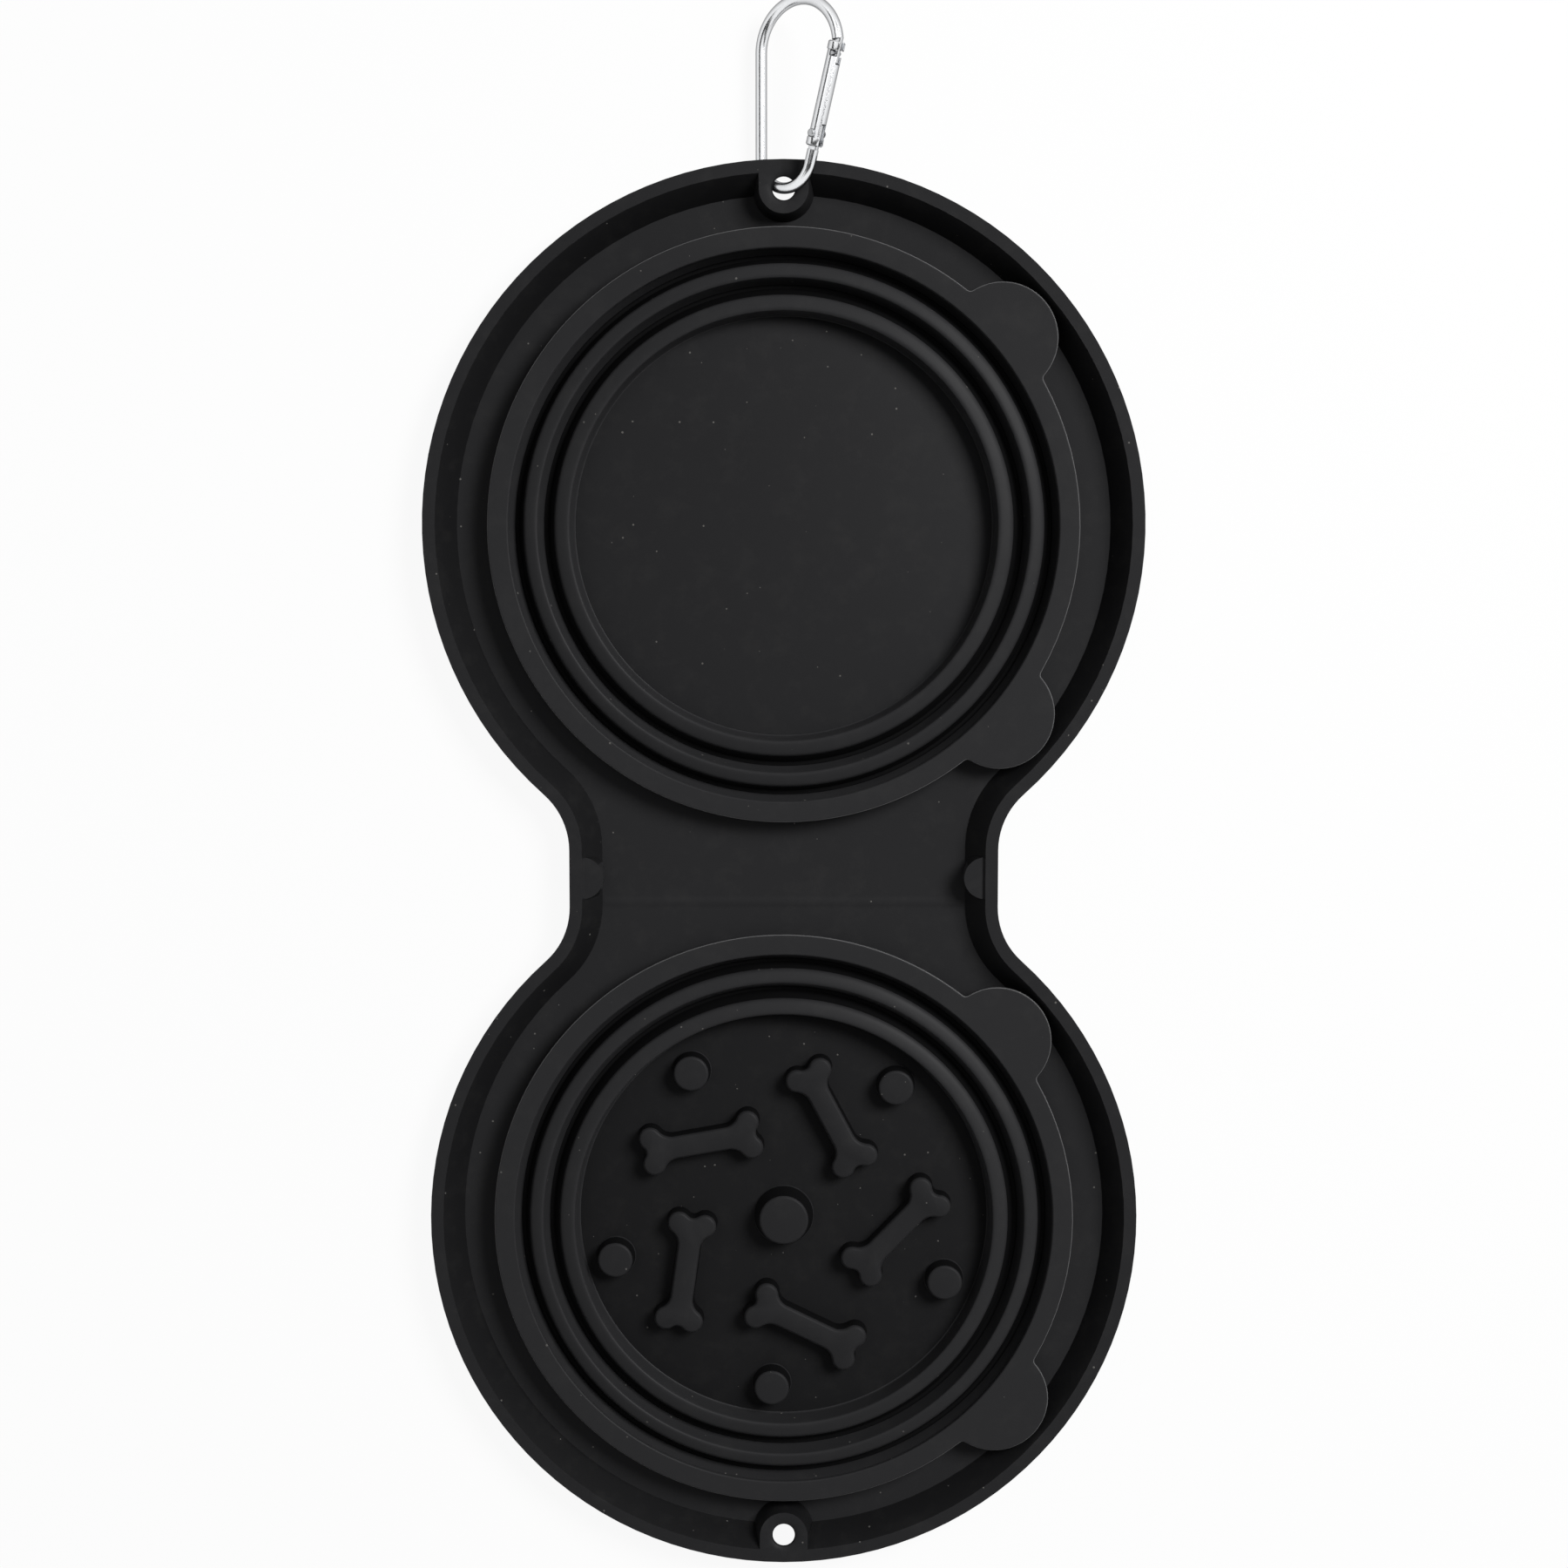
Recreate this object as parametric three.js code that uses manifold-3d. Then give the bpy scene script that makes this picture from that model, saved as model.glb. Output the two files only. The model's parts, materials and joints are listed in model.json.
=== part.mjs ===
// Collapsible slow feeder bowl: a folding silicone tray with a water bowl, a slow feeder
// bowl and a small spring-gate carabiner. Millimetres, +Z up, +Y towards the water bowl.
import * as THREE from 'three';
import { mergeVertices } from 'three/addons/utils/BufferGeometryUtils.js';
import Module from 'manifold-3d';

const wasm = await Module();
wasm.setup();

const { degToRad } = THREE.MathUtils;

// Clearances
const gap = 0.3; // between neighbouring pieces
const shutGap = 0.3; // between the two flanges when the tray is folded shut
const earClearance = 0.5; // from a pull tab to the tray wall
const valleyLift = 0.4; // from the tray floor to the underside of a fold's valley
const swingGap = 0.9; // from the rod's end to the gate's tail

// Tray
const sheet = 2.0; // floor, wall and flange
const trayDepth = 7.1; // from floor to flange top
const flangeLip = 2.3; // flange beyond the wall's outer face
const wallRun = 5.0; // the wall leans out by this much over the tray's depth
const waistWidth = 114;
const waistFillet = 20; // hollow corner between the waist and a round half
const rimToFold = 7.75; // from a bowl's rim to the nearer fold line
const padRadius = 5.6; // half-round pads on the waist walls
const padDrop = 0.9; // from flange top down to pad top

// Hanging lugs
const lugRadius = 7.0; // half the lug's width at the top
const lugEdge = 7.4; // from the hole's centre to the tray's outer edge
const lugDraft = 1.5; // the lug's wall leans out by this much over the tray's depth
const lugWall = 1.5;
const lugToRim = 2.6; // from the lug's round end to the bowl's rim
const eyeletRadius = 3.0; // narrowest part of the hole
const eyeletFlare = 1.4; // the hole is wider by this much at each face

// Bowls, in order from the floor outwards
const floorRadius = 55.4;
const innerWallRun = 1.7;
const bowlWall = 1.7;
const lowerGroove = 4.7; // width at the top
const upperGroove = 3.8; // width at the top
const grooveFoot = 1.0; // width at the bottom of both grooves
const rimWidth = 5.6;
const rimThickness = 1.6;
const webWall = 1.3;
const valleyThickness = 1.2;
const rimDrop = 0.1; // from flange top down to the rim
const ridgeDrop = 0.4; // from flange top down to the ridges
const earAngle = 40.7; // degrees from the tray's cross axis to each pull tab
const earRadius = 14.6;
const earFillet = 4.0;

// Slow feeder pattern
const patternCount = 5;
const patternHeight = 5.2; // bones and studs above the bowl floor
const patternBevel = 0.9;
const boneStart = -7; // degrees to the first bone
const boneTurn = 53; // degrees from the radius to the bone's length
const boneCircle = 30.5;
const boneLength = 33.4;
const boneEndWidth = 13;
const boneKnob = 3.05;
const boneShaft = 6;
const studStart = 50; // degrees to the first stud
const studCircle = 47;
const studRadius = 5.2;
const centreStudRadius = 7.4;
const centreStudHeight = 6.4;

// Carabiner, drawn flat: x across the loop, y along it, from the middle of the hole
const rodRadius = 1.5;
const loopTilt = 38; // degrees from the tray's plane to the loop's plane
const legOffset = 7.4; // from the hole to the straight leg
const bendRadius = 8.2; // bend that passes through the hole
const gateLean = 16.3; // degrees from the leg to the gate
const stubLength = 7.4; // from the bend to the gate's pivot
const gateRadius = 1.95;
const gateTail = 3.2; // gate below the pivot
const gateReach = 23.4; // gate above the pivot
const archEnd = 5; // degrees left out of the half round at the nose
const tongueThickness = 1.2;
const tongueWidth = 2.7;
const pivotTongue = 2.3; // tongue above the pivot
const noseTongue = 6.0; // tongue below the nose
const noseShift = 0.35; // nose tongue towards the outside of the loop
const pinRadius = 0.5;
const pinHead = 1.1;
const pinHeadHeight = 0.5;
const latchPinDrop = 3.6; // from the nose down to the latch pin
const springTurns = 6;
const springRadius = 0.6; // to the middle of the wire
const springWire = 0.18;
const springLength = 10;

// Facets
const bowlFacets = 48;
const capFacets = 4;
const rodFacets = 10;

// Heights and radii that follow from the sizes above
const floorTop = sheet;
const flangeTop = sheet + trayDepth;
const plateUnder = flangeTop - sheet;
const spineHalf = trayDepth + shutGap / 2;
const wallSlope = wallRun / trayDepth;
const wallThickness = sheet * Math.hypot(1, wallSlope);
const flangeWidth = flangeLip + wallThickness - sheet * wallSlope;

const lowerRidgeIn = floorRadius + innerWallRun;
const lowerRidgeOut = lowerRidgeIn + 2 * bowlWall;
const upperRidgeIn = lowerRidgeOut + lowerGroove;
const upperRidgeOut = upperRidgeIn + 2 * bowlWall;
const rimInner = upperRidgeOut + upperGroove;
const rimOuter = rimInner + rimWidth;
const baseRadius = floorRadius + bowlWall;
const rimTop = flangeTop - rimDrop;
const rimUnder = rimTop - rimThickness;
const capZ = flangeTop - ridgeDrop - bowlWall;
const valleyUnder = floorTop + valleyLift;
const valleyTop = valleyUnder + valleyThickness;

const trayRadius = rimOuter + lugToRim + lugRadius + lugEdge;
const bowlY = rimOuter + rimToFold + spineHalf;
const lugY = bowlY + trayRadius - lugEdge;
const earReach = trayRadius - wallInset(rimUnder) - earClearance;
const earCircle = earReach - earRadius;
const spineFloorHalf = waistWidth / 2 - wallInset(floorTop) - sheet / 2;

/** How far the wall's inner face lies inside the tray's edge at a height. */
function wallInset(z) {
  return flangeWidth + (flangeTop - z) * wallSlope;
}

// Solids

/** A closed solid from any geometry whose faces meet. */
function solid(geometry) {
  const bare = geometry.clone();
  bare.deleteAttribute('normal');
  bare.deleteAttribute('uv');
  const merged = mergeVertices(bare, 1e-4);
  const points = merged.getAttribute('position');
  const corners = merged.index.array;
  const faces = [];
  let volume = 0;
  const [a, b, c] = [new THREE.Vector3(), new THREE.Vector3(), new THREE.Vector3()];
  for (let i = 0; i < corners.length; i += 3) {
    const [p, q, r] = [corners[i], corners[i + 1], corners[i + 2]];
    if (p !== q && q !== r && r !== p) {
      faces.push(p, q, r);
      a.fromBufferAttribute(points, p);
      b.fromBufferAttribute(points, q);
      c.fromBufferAttribute(points, r);
      volume += a.dot(b.cross(c));
    }
  }
  const triVerts = Uint32Array.from(volume < 0 ? faces.reverse() : faces);
  const vertProperties = Float32Array.from(points.array);
  return new wasm.Manifold(new wasm.Mesh({ numProp: 3, vertProperties, triVerts }));
}

/** A named mesh with its own material from a finished solid. */
function piece(name, body, finish) {
  const { vertProperties, triVerts } = body.getMesh();
  const geometry = new THREE.BufferGeometry();
  geometry.setAttribute('position', new THREE.BufferAttribute(vertProperties, 3));
  geometry.setIndex(new THREE.BufferAttribute(triVerts, 1));
  geometry.computeVertexNormals();
  const mesh = new THREE.Mesh(geometry, new THREE.MeshStandardMaterial(finish));
  mesh.name = name;
  return mesh;
}

/** Points of an arc, angles in radians, with the first point left out. */
function arc(x, y, radius, from, to, steps) {
  const points = [];
  for (let i = 1; i <= steps; i += 1) {
    const angle = from + ((to - from) * i) / steps;
    points.push(new THREE.Vector2(x + radius * Math.cos(angle), y + radius * Math.sin(angle)));
  }
  return points;
}

/** A solid through closed outlines with equal point counts, each at its own height. */
function loft(levels) {
  const count = levels[0].outline.length;
  const positions = levels.flatMap(({ outline, z }) => outline.flatMap(({ x, y }) => [x, y, z]));
  const index = [];
  for (let level = 0; level + 1 < levels.length; level += 1) {
    for (let i = 0; i < count; i += 1) {
      const low = level * count;
      const next = (i + 1) % count;
      index.push(low + i, low + next, low + count + next);
      index.push(low + i, low + count + next, low + count + i);
    }
  }
  const top = (levels.length - 1) * count;
  THREE.ShapeUtils.triangulateShape(levels[0].outline, []).forEach(([p, q, r]) => {
    index.push(r, q, p);
  });
  THREE.ShapeUtils.triangulateShape(levels.at(-1).outline, []).forEach(([p, q, r]) => {
    index.push(top + p, top + q, top + r);
  });
  const geometry = new THREE.BufferGeometry();
  geometry.setAttribute('position', new THREE.Float32BufferAttribute(positions, 3));
  geometry.setIndex(index);
  return solid(geometry);
}

/** A solid turned about the Z axis from a closed profile of [radius, height] pairs. */
function turned(profile, facets) {
  const points = [...profile, profile[0]].map(([r, z]) => new THREE.Vector2(r, z));
  return solid(new THREE.LatheGeometry(points, facets).rotateX(Math.PI / 2));
}

/** An upright cylinder between two heights. */
function post(x, y, radius, low, high, facets) {
  const geometry = new THREE.CylinderGeometry(radius, radius, high - low, facets);
  geometry.rotateX(Math.PI / 2).translate(x, y, (low + high) / 2);
  return solid(geometry);
}

/** A box between two corners. */
function block([x0, y0, z0], [x1, y1, z1]) {
  const geometry = new THREE.BoxGeometry(x1 - x0, y1 - y0, z1 - z0);
  return solid(geometry.translate((x0 + x1) / 2, (y0 + y1) / 2, (z0 + z1) / 2));
}

/** The half-round top of a fold's ridge, from its outer to its inner edge. */
function ridgeCap(centre) {
  const points = arc(centre, capZ, bowlWall, 0, Math.PI, capFacets);
  return [[centre + bowlWall, capZ], ...points.map(({ x, y }) => [x, y])];
}

// Tray

/** The figure-of-eight outline, drawn inside the tray's edge by an even inset. */
function trayOutline(inset) {
  const filletX = waistWidth / 2 + waistFillet;
  const rise = Math.sqrt((trayRadius + waistFillet) ** 2 - filletX ** 2);
  const filletY = bowlY - rise;
  const turn = Math.atan2(rise, filletX);
  const fillet = waistFillet + inset;
  const radius = trayRadius - inset;
  const half = Math.PI;
  return [
    ...arc(filletX, filletY, fillet, half, half - turn, 6),
    ...arc(0, bowlY, radius, -turn, half + turn, 40),
    ...arc(-filletX, filletY, fillet, turn, 0, 6),
    new THREE.Vector2(inset - waistWidth / 2, -filletY),
    ...arc(-filletX, -filletY, fillet, 0, -turn, 6),
    ...arc(0, -bowlY, radius, half - turn, 2 * half + turn, 40),
    ...arc(filletX, -filletY, fillet, half + turn, half, 6),
    new THREE.Vector2(waistWidth / 2 - inset, filletY),
  ];
}

/** The lug's upright body, open towards the tray's edge, as wide as asked at two heights. */
function lugBlock(lowRadius, low, highRadius, high) {
  const outline = (radius) => [
    new THREE.Vector2(-radius, lugY + 2 * lugEdge),
    new THREE.Vector2(-radius, lugY),
    ...arc(0, lugY, radius, Math.PI, 2 * Math.PI, 10),
    new THREE.Vector2(radius, lugY + 2 * lugEdge),
  ];
  return loft([
    { outline: outline(lowRadius), z: low },
    { outline: outline(highRadius), z: high },
  ]);
}

/** The lug's hole, with mouths that flare to both faces. */
function eyelet() {
  const middle = (plateUnder + flangeTop) / 2;
  const profile = [
    [0, plateUnder - sheet / 2],
    [eyeletRadius + 2 * eyeletFlare, plateUnder - sheet / 2],
    [eyeletRadius, middle],
    [eyeletRadius + 2 * eyeletFlare, flangeTop + sheet / 2],
    [0, flangeTop + sheet / 2],
  ];
  return turned(profile, 20).translate([0, lugY, 0]);
}

/** The strip of the waist that stays with the spine: upright, then mitred at 45 degrees. */
function spineZone(half) {
  const reach = half + 2 * trayDepth;
  const shape = new THREE.Shape([
    new THREE.Vector2(-half, -sheet),
    new THREE.Vector2(half, -sheet),
    new THREE.Vector2(half, floorTop),
    new THREE.Vector2(reach, floorTop + 2 * trayDepth),
    new THREE.Vector2(-reach, floorTop + 2 * trayDepth),
    new THREE.Vector2(-half, floorTop),
  ]);
  const geometry = new THREE.ExtrudeGeometry(shape, { depth: 2 * waistWidth, bevelEnabled: false });
  geometry.rotateX(Math.PI / 2).rotateZ(Math.PI / 2).translate(-waistWidth, 0, 0);
  return solid(geometry);
}

const underside = loft([
  { outline: trayOutline(wallInset(0) - wallThickness), z: 0 },
  { outline: trayOutline(flangeLip), z: plateUnder },
  { outline: trayOutline(0), z: plateUnder },
  { outline: trayOutline(0), z: flangeTop },
]);
const hollow = loft([
  { outline: trayOutline(wallInset(floorTop)), z: floorTop },
  { outline: trayOutline(wallInset(flangeTop)), z: flangeTop },
  { outline: trayOutline(wallInset(flangeTop)), z: flangeTop + sheet },
]);
const lugFoot = lugRadius + (lugDraft * flangeTop) / trayDepth;
const lug = lugBlock(lugFoot, 0, lugRadius, flangeTop);
const lugRoof = lugRadius + (lugDraft * sheet) / trayDepth;
const pocket = lugBlock(lugFoot - lugWall, 0, lugRoof - lugWall, plateUnder)
  .add(lugBlock(lugFoot - lugWall, -sheet, lugFoot - lugWall, 0));
const turnRound = [0, 0, 180];
const lugs = lug.add(lug.rotate(turnRound));
const openings = pocket.add(eyelet());
const pan = underside
  .subtract(hollow.subtract(lugs))
  .subtract(openings)
  .subtract(openings.rotate(turnRound));

const padX = waistWidth / 2 - flangeWidth;
const padTop = flangeTop - padDrop;
const pads = post(padX, 0, padRadius, floorTop + gap, padTop, 24)
  .add(post(-padX, 0, padRadius, floorTop + gap, padTop, 24))
  .intersect(block([-padX, -waistWidth, 0], [padX, waistWidth, flangeTop]))
  .intersect(underside);

const silicone = { color: 0x19191b, roughness: 0.72, metalness: 0 };

/** One round half of the tray, on the +Y or -Y side. */
function trayHalf(name, side) {
  const edges = [-side * gap, side * 4 * trayRadius].sort((a, b) => a - b);
  const zone = block([-2 * trayRadius, edges[0], -sheet], [2 * trayRadius, edges[1], 2 * flangeTop]);
  const seat = post(0, side * bowlY, baseRadius + gap, -sheet, 2 * sheet, bowlFacets);
  const body = pan.subtract(spineZone(spineHalf + gap / 2)).intersect(zone).subtract(seat);
  return piece(name, body, silicone);
}

/** The floor strip between the two fold lines. */
function spineFloor() {
  const edge = spineHalf - gap / 2;
  const strip = block([-spineFloorHalf, -edge, -sheet], [spineFloorHalf, edge, flangeTop]);
  return piece('fold_spine', pan.intersect(strip), silicone);
}

/** The waist wall on one side, with its half-round pad. */
function gusset(name, side) {
  const edges = [side * (spineFloorHalf + gap), side * waistWidth].sort((a, b) => a - b);
  const zone = block([edges[0], -waistWidth, -sheet], [edges[1], waistWidth, 2 * flangeTop]);
  const body = pan.add(pads).intersect(spineZone(spineHalf - gap / 2)).intersect(zone);
  return piece(name, body, silicone);
}

// Bowls

/** The bowl floor with the fixed inner wall and the lower ridge. */
function bowlBase() {
  return turned([
    [0, 0],
    [baseRadius, 0],
    [baseRadius, floorTop],
    [lowerRidgeIn + bowlWall, capZ],
    ...ridgeCap(lowerRidgeIn + bowlWall),
    [floorRadius, floorTop],
    [0, floorTop],
  ], bowlFacets);
}

/** The thin cone of one fold, from just under its ridge to just above its valley. */
function foldWeb(ridgeOut, groove) {
  const run = (groove - grooveFoot) / 2;
  const slope = run / (capZ - valleyTop);
  const high = ridgeOut + gap * slope;
  const low = ridgeOut + run - gap * slope;
  return turned([
    [low - webWall, valleyTop + gap],
    [low, valleyTop + gap],
    [high, capZ - gap],
    [high - webWall, capZ - gap],
  ], bowlFacets);
}

/** The firm ring between the two folds: a valley, a wall and the upper ridge. */
function middleRing() {
  const run = (lowerGroove - grooveFoot) / 2;
  const foot = upperRidgeIn - run;
  return turned([
    [lowerRidgeOut + gap, valleyUnder],
    [foot + bowlWall, valleyUnder],
    [foot + bowlWall, valleyTop],
    [upperRidgeIn + bowlWall, capZ],
    ...ridgeCap(upperRidgeIn + bowlWall),
    [foot, valleyTop],
    [lowerRidgeOut + gap, valleyTop],
  ], bowlFacets);
}

/** The rim's outer edge, with its pull tabs run in by small hollow corners. */
function rimOutline() {
  const corner = rimOuter + earFillet;
  const across = corner ** 2 + earCircle ** 2 - (earRadius + earFillet) ** 2;
  const spread = Math.acos(across / (2 * corner * earCircle));
  const points = [];
  const ears = [-degToRad(earAngle), degToRad(earAngle)];
  ears.forEach((angle, i) => {
    const [earX, earY] = [earCircle * Math.cos(angle), earCircle * Math.sin(angle)];
    const [first, last] = [angle - spread, angle + spread];
    const [firstX, firstY] = [corner * Math.cos(first), corner * Math.sin(first)];
    const [lastX, lastY] = [corner * Math.cos(last), corner * Math.sin(last)];
    const into = Math.atan2(firstY - earY, firstX - earX);
    const out = Math.atan2(lastY - earY, lastX - earX);
    const sweep = (out - into + 4 * Math.PI) % (2 * Math.PI);
    const bend = sweep - 2 * spread;
    const next = i === 0 ? ears[1] - spread : ears[0] - spread + 2 * Math.PI;
    points.push(...arc(firstX, firstY, earFillet, first + Math.PI, first + Math.PI - bend / 2, 4));
    points.push(...arc(earX, earY, earRadius, into, into + sweep, 16));
    points.push(...arc(lastX, lastY, earFillet, out + Math.PI, out + Math.PI - bend / 2, 4));
    points.push(...arc(0, 0, rimOuter, last, next, i === 0 ? 6 : 32));
  });
  return points;
}

/** The flat rim with its pull tabs, the upper wall and the upper fold's valley. */
function rim() {
  const run = (upperGroove - grooveFoot) / 2;
  const foot = rimInner - run;
  const wall = turned([
    [upperRidgeOut + gap, valleyUnder],
    [foot + bowlWall, valleyUnder],
    [foot + bowlWall, valleyTop],
    [rimInner + bowlWall, rimUnder],
    [rimInner + bowlWall, rimTop],
    [rimInner, rimTop],
    [rimInner, rimUnder],
    [foot, valleyTop],
    [upperRidgeOut + gap, valleyTop],
  ], bowlFacets);
  const outline = rimOutline();
  const plate = loft([
    { outline, z: rimUnder },
    { outline, z: rimTop },
  ]);
  return plate.subtract(post(0, 0, rimInner + bowlWall / 2, 0, 2 * rimTop, bowlFacets)).add(wall);
}

/** A bone lying on the feeder's floor, along X, with bevelled top edges. */
function bone() {
  const knobX = boneLength / 2 - boneKnob;
  const knobY = boneEndWidth / 2 - boneKnob;
  const meet = Math.asin((knobY - boneShaft / 2) / boneKnob);
  const notch = degToRad(60);
  const shape = new THREE.Shape();
  shape.absarc(knobX, knobY, boneKnob, Math.PI + meet, -notch, true);
  shape.absarc(knobX, -knobY, boneKnob, notch, Math.PI - meet, true);
  shape.absarc(-knobX, -knobY, boneKnob, meet, Math.PI - notch, true);
  shape.absarc(-knobX, knobY, boneKnob, notch - Math.PI, -meet, true);
  const geometry = new THREE.ExtrudeGeometry(shape, {
    depth: patternHeight - patternBevel,
    curveSegments: 4,
    bevelSegments: 1,
    bevelThickness: patternBevel,
    bevelSize: patternBevel / 2,
    bevelOffset: -patternBevel / 2,
  });
  return solid(geometry.translate(0, 0, floorTop));
}

/** A round stud with a bevelled top edge. */
function stud(radius, height, facets) {
  return turned([
    [0, floorTop / 2],
    [radius, floorTop / 2],
    [radius, floorTop + height - patternBevel],
    [radius - patternBevel / 2, floorTop + height],
    [0, floorTop + height],
  ], facets);
}

/** The feeder's floor: five bones and five studs in a ring, with a taller stud between. */
function feederBase() {
  let body = bowlBase().add(stud(centreStudRadius, centreStudHeight, 24));
  for (let i = 0; i < patternCount; i += 1) {
    const step = (360 * i) / patternCount;
    const lying = bone().rotate([0, 0, boneTurn]).translate([boneCircle, 0, 0]);
    const standing = stud(studRadius, patternHeight, 16).translate([studCircle, 0, 0]);
    body = body.add(lying.rotate([0, 0, boneStart + step]));
    body = body.add(standing.rotate([0, 0, studStart + step]));
  }
  return body;
}

/** One whole bowl, with the named pieces that move against each other. */
function bowl(prefix, base, side) {
  const group = new THREE.Group();
  group.position.set(0, side * bowlY, 0);
  group.add(
    piece(`${prefix}_bowl_base`, base, silicone),
    piece(`${prefix}_lower_web`, foldWeb(lowerRidgeOut, lowerGroove), silicone),
    piece(`${prefix}_middle_ring`, middleRing(), silicone),
    piece(`${prefix}_upper_web`, foldWeb(upperRidgeOut, upperGroove), silicone),
    piece(`${prefix}_rim`, rim(), silicone),
  );
  return group;
}

// Carabiner

/** A flat arc in the loop's plane, as a path. */
class LoopArc extends THREE.Curve {
  constructor(x, y, radius, from, to) {
    super();
    Object.assign(this, { x, y, radius, from, to });
  }

  getPoint(t, target = new THREE.Vector3()) {
    const angle = this.from + (this.to - this.from) * t;
    const { x, y, radius } = this;
    return target.set(x + radius * Math.cos(angle), y + radius * Math.sin(angle), 0);
  }
}

/** The spring's wire path, a helix about Y. */
class Coil extends THREE.Curve {
  getPoint(t, target = new THREE.Vector3()) {
    const angle = 2 * Math.PI * springTurns * t;
    const [x, z] = [springRadius * Math.cos(angle), springRadius * Math.sin(angle)];
    return target.set(x, springLength * t, z);
  }
}

/** A round bar along a path. */
function bar(path, radius, facets, steps) {
  const shape = new THREE.Shape(arc(0, 0, radius, 0, 2 * Math.PI, facets));
  return solid(new THREE.ExtrudeGeometry(shape, { extrudePath: path, steps, bevelEnabled: false }));
}

const lean = degToRad(gateLean);
const along = new THREE.Vector3(Math.sin(lean), Math.cos(lean), 0);
const bendX = bendRadius - legOffset;
const bendEnd = new THREE.Vector3(
  bendX + bendRadius * Math.cos(lean),
  bendRadius - bendRadius * Math.sin(lean),
  0,
);
const pivot = bendEnd.clone().addScaledVector(along, stubLength);
const stubEnd = pivot.clone().addScaledVector(along, -gateTail - swingGap);
const noseRise = gateReach + 2 * gap;
const nose = pivot.clone().addScaledVector(along, noseRise);
const archRadius = (nose.x + legOffset) / (1 + Math.cos(degToRad(archEnd)));
const archX = archRadius - legOffset;
const archY = nose.y - archRadius * Math.sin(degToRad(archEnd));

/** A piece drawn along the gate's line, turned and moved into the loop. */
function onGateLine(body) {
  return body.rotate([0, 0, -gateLean]).translate(pivot.toArray());
}

/** A cross pin through the loop's plane, some way up the gate's line. */
function crossPin(rise, radius, half) {
  return post(0, rise, radius, -half, half, 12);
}

/** The bent rod with a flat tongue at each end for the two pins. */
function carabinerBody() {
  const path = new THREE.CurvePath();
  path.add(new LoopArc(archX, archY, archRadius, degToRad(archEnd), Math.PI));
  path.add(new THREE.LineCurve3(
    new THREE.Vector3(-legOffset, archY, 0),
    new THREE.Vector3(-legOffset, bendRadius, 0),
  ));
  path.add(new LoopArc(bendX, bendRadius, bendRadius, Math.PI, 2 * Math.PI - lean));
  path.add(new THREE.LineCurve3(bendEnd, stubEnd));
  const half = tongueThickness / 2;
  const low = block(
    [-tongueWidth / 2, -gateTail - swingGap - rodRadius, -half],
    [tongueWidth / 2, pivotTongue, half],
  );
  const latchRise = noseRise - latchPinDrop;
  const high = block(
    [noseShift - rodRadius / 2, noseRise - noseTongue, -half],
    [noseShift + rodRadius / 2 + gap, noseRise + rodRadius / 2, half],
  );
  const tongues = low.add(high)
    .subtract(crossPin(0, pinRadius + gap, gateRadius))
    .subtract(crossPin(latchRise, pinRadius + gap, gateRadius).translate([noseShift, 0, 0]));
  return bar(path, rodRadius, rodFacets, 56).add(onGateLine(tongues));
}

/** The gate: a round bar slotted at both ends and bored for its spring. */
function gateBar() {
  const whole = new THREE.CylinderGeometry(gateRadius, gateRadius, gateReach + gateTail, 14);
  const round = solid(whole.translate(0, (gateReach - gateTail) / 2, 0));
  const slot = tongueThickness / 2 + gap;
  const wide = 2 * gateRadius;
  const bore = springRadius + springWire + gap;
  const boreLength = springLength + 2 * gap;
  const hole = new THREE.CylinderGeometry(bore, bore, boreLength, 12);
  const latchRise = noseRise - latchPinDrop;
  const inner = noseShift - rodRadius / 2 - gap;
  return round
    .subtract(block([-wide, -wide, -slot], [wide, pivotTongue + gap, slot]))
    .subtract(crossPin(0, pinRadius + gap, wide))
    .subtract(solid(hole.translate(0, pivotTongue + boreLength / 2, 0)))
    .subtract(block([inner, noseRise - noseTongue - gap, -slot], [wide, 2 * noseRise, slot]))
    .subtract(crossPin(latchRise, pinRadius + gap, wide).translate([noseShift, 0, 0]))
    .subtract(block(
      [noseShift, latchRise - pinRadius - gap, -wide],
      [wide, latchRise + pinRadius + gap, wide],
    ));
}

/** The rivet that the gate turns on. */
function pivotPin() {
  const shank = gateRadius + gap;
  const heads = crossPin(0, pinHead, shank + pinHeadHeight).subtract(crossPin(0, 2 * pinHead, shank));
  return heads.add(crossPin(0, pinRadius, shank + pinHeadHeight / 2));
}

/** The carabiner, tilted about the line through the lug's hole. */
function carabiner() {
  const polished = { color: 0xd7d9dc, roughness: 0.24, metalness: 1 };
  const steel = { color: 0xa9abad, roughness: 0.35, metalness: 1 };
  const latchPin = crossPin(noseRise - latchPinDrop, pinRadius, gateRadius - gap)
    .translate([noseShift, 0, 0]);
  const spring = bar(new Coil(), springWire, 5, 8 * springTurns).translate([0, pivotTongue + gap, 0]);
  const group = new THREE.Group();
  group.position.set(0, lugY, (plateUnder + flangeTop) / 2);
  group.rotation.y = -degToRad(loopTilt);
  group.add(
    piece('carabiner_body', carabinerBody(), polished),
    piece('carabiner_gate', onGateLine(gateBar()), polished),
    piece('gate_pivot_pin', onGateLine(pivotPin()), steel),
    piece('gate_latch_pin', onGateLine(latchPin), steel),
    piece('gate_spring', onGateLine(spring), steel),
  );
  return group;
}

const feederBowl = new THREE.Group();
feederBowl.add(
  trayHalf('water_tray', 1),
  trayHalf('feeder_tray', -1),
  spineFloor(),
  gusset('left_gusset', -1),
  gusset('right_gusset', 1),
  bowl('water', bowlBase(), 1),
  bowl('feeder', feederBase(), -1),
  carabiner(),
);

export default feederBowl;
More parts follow.
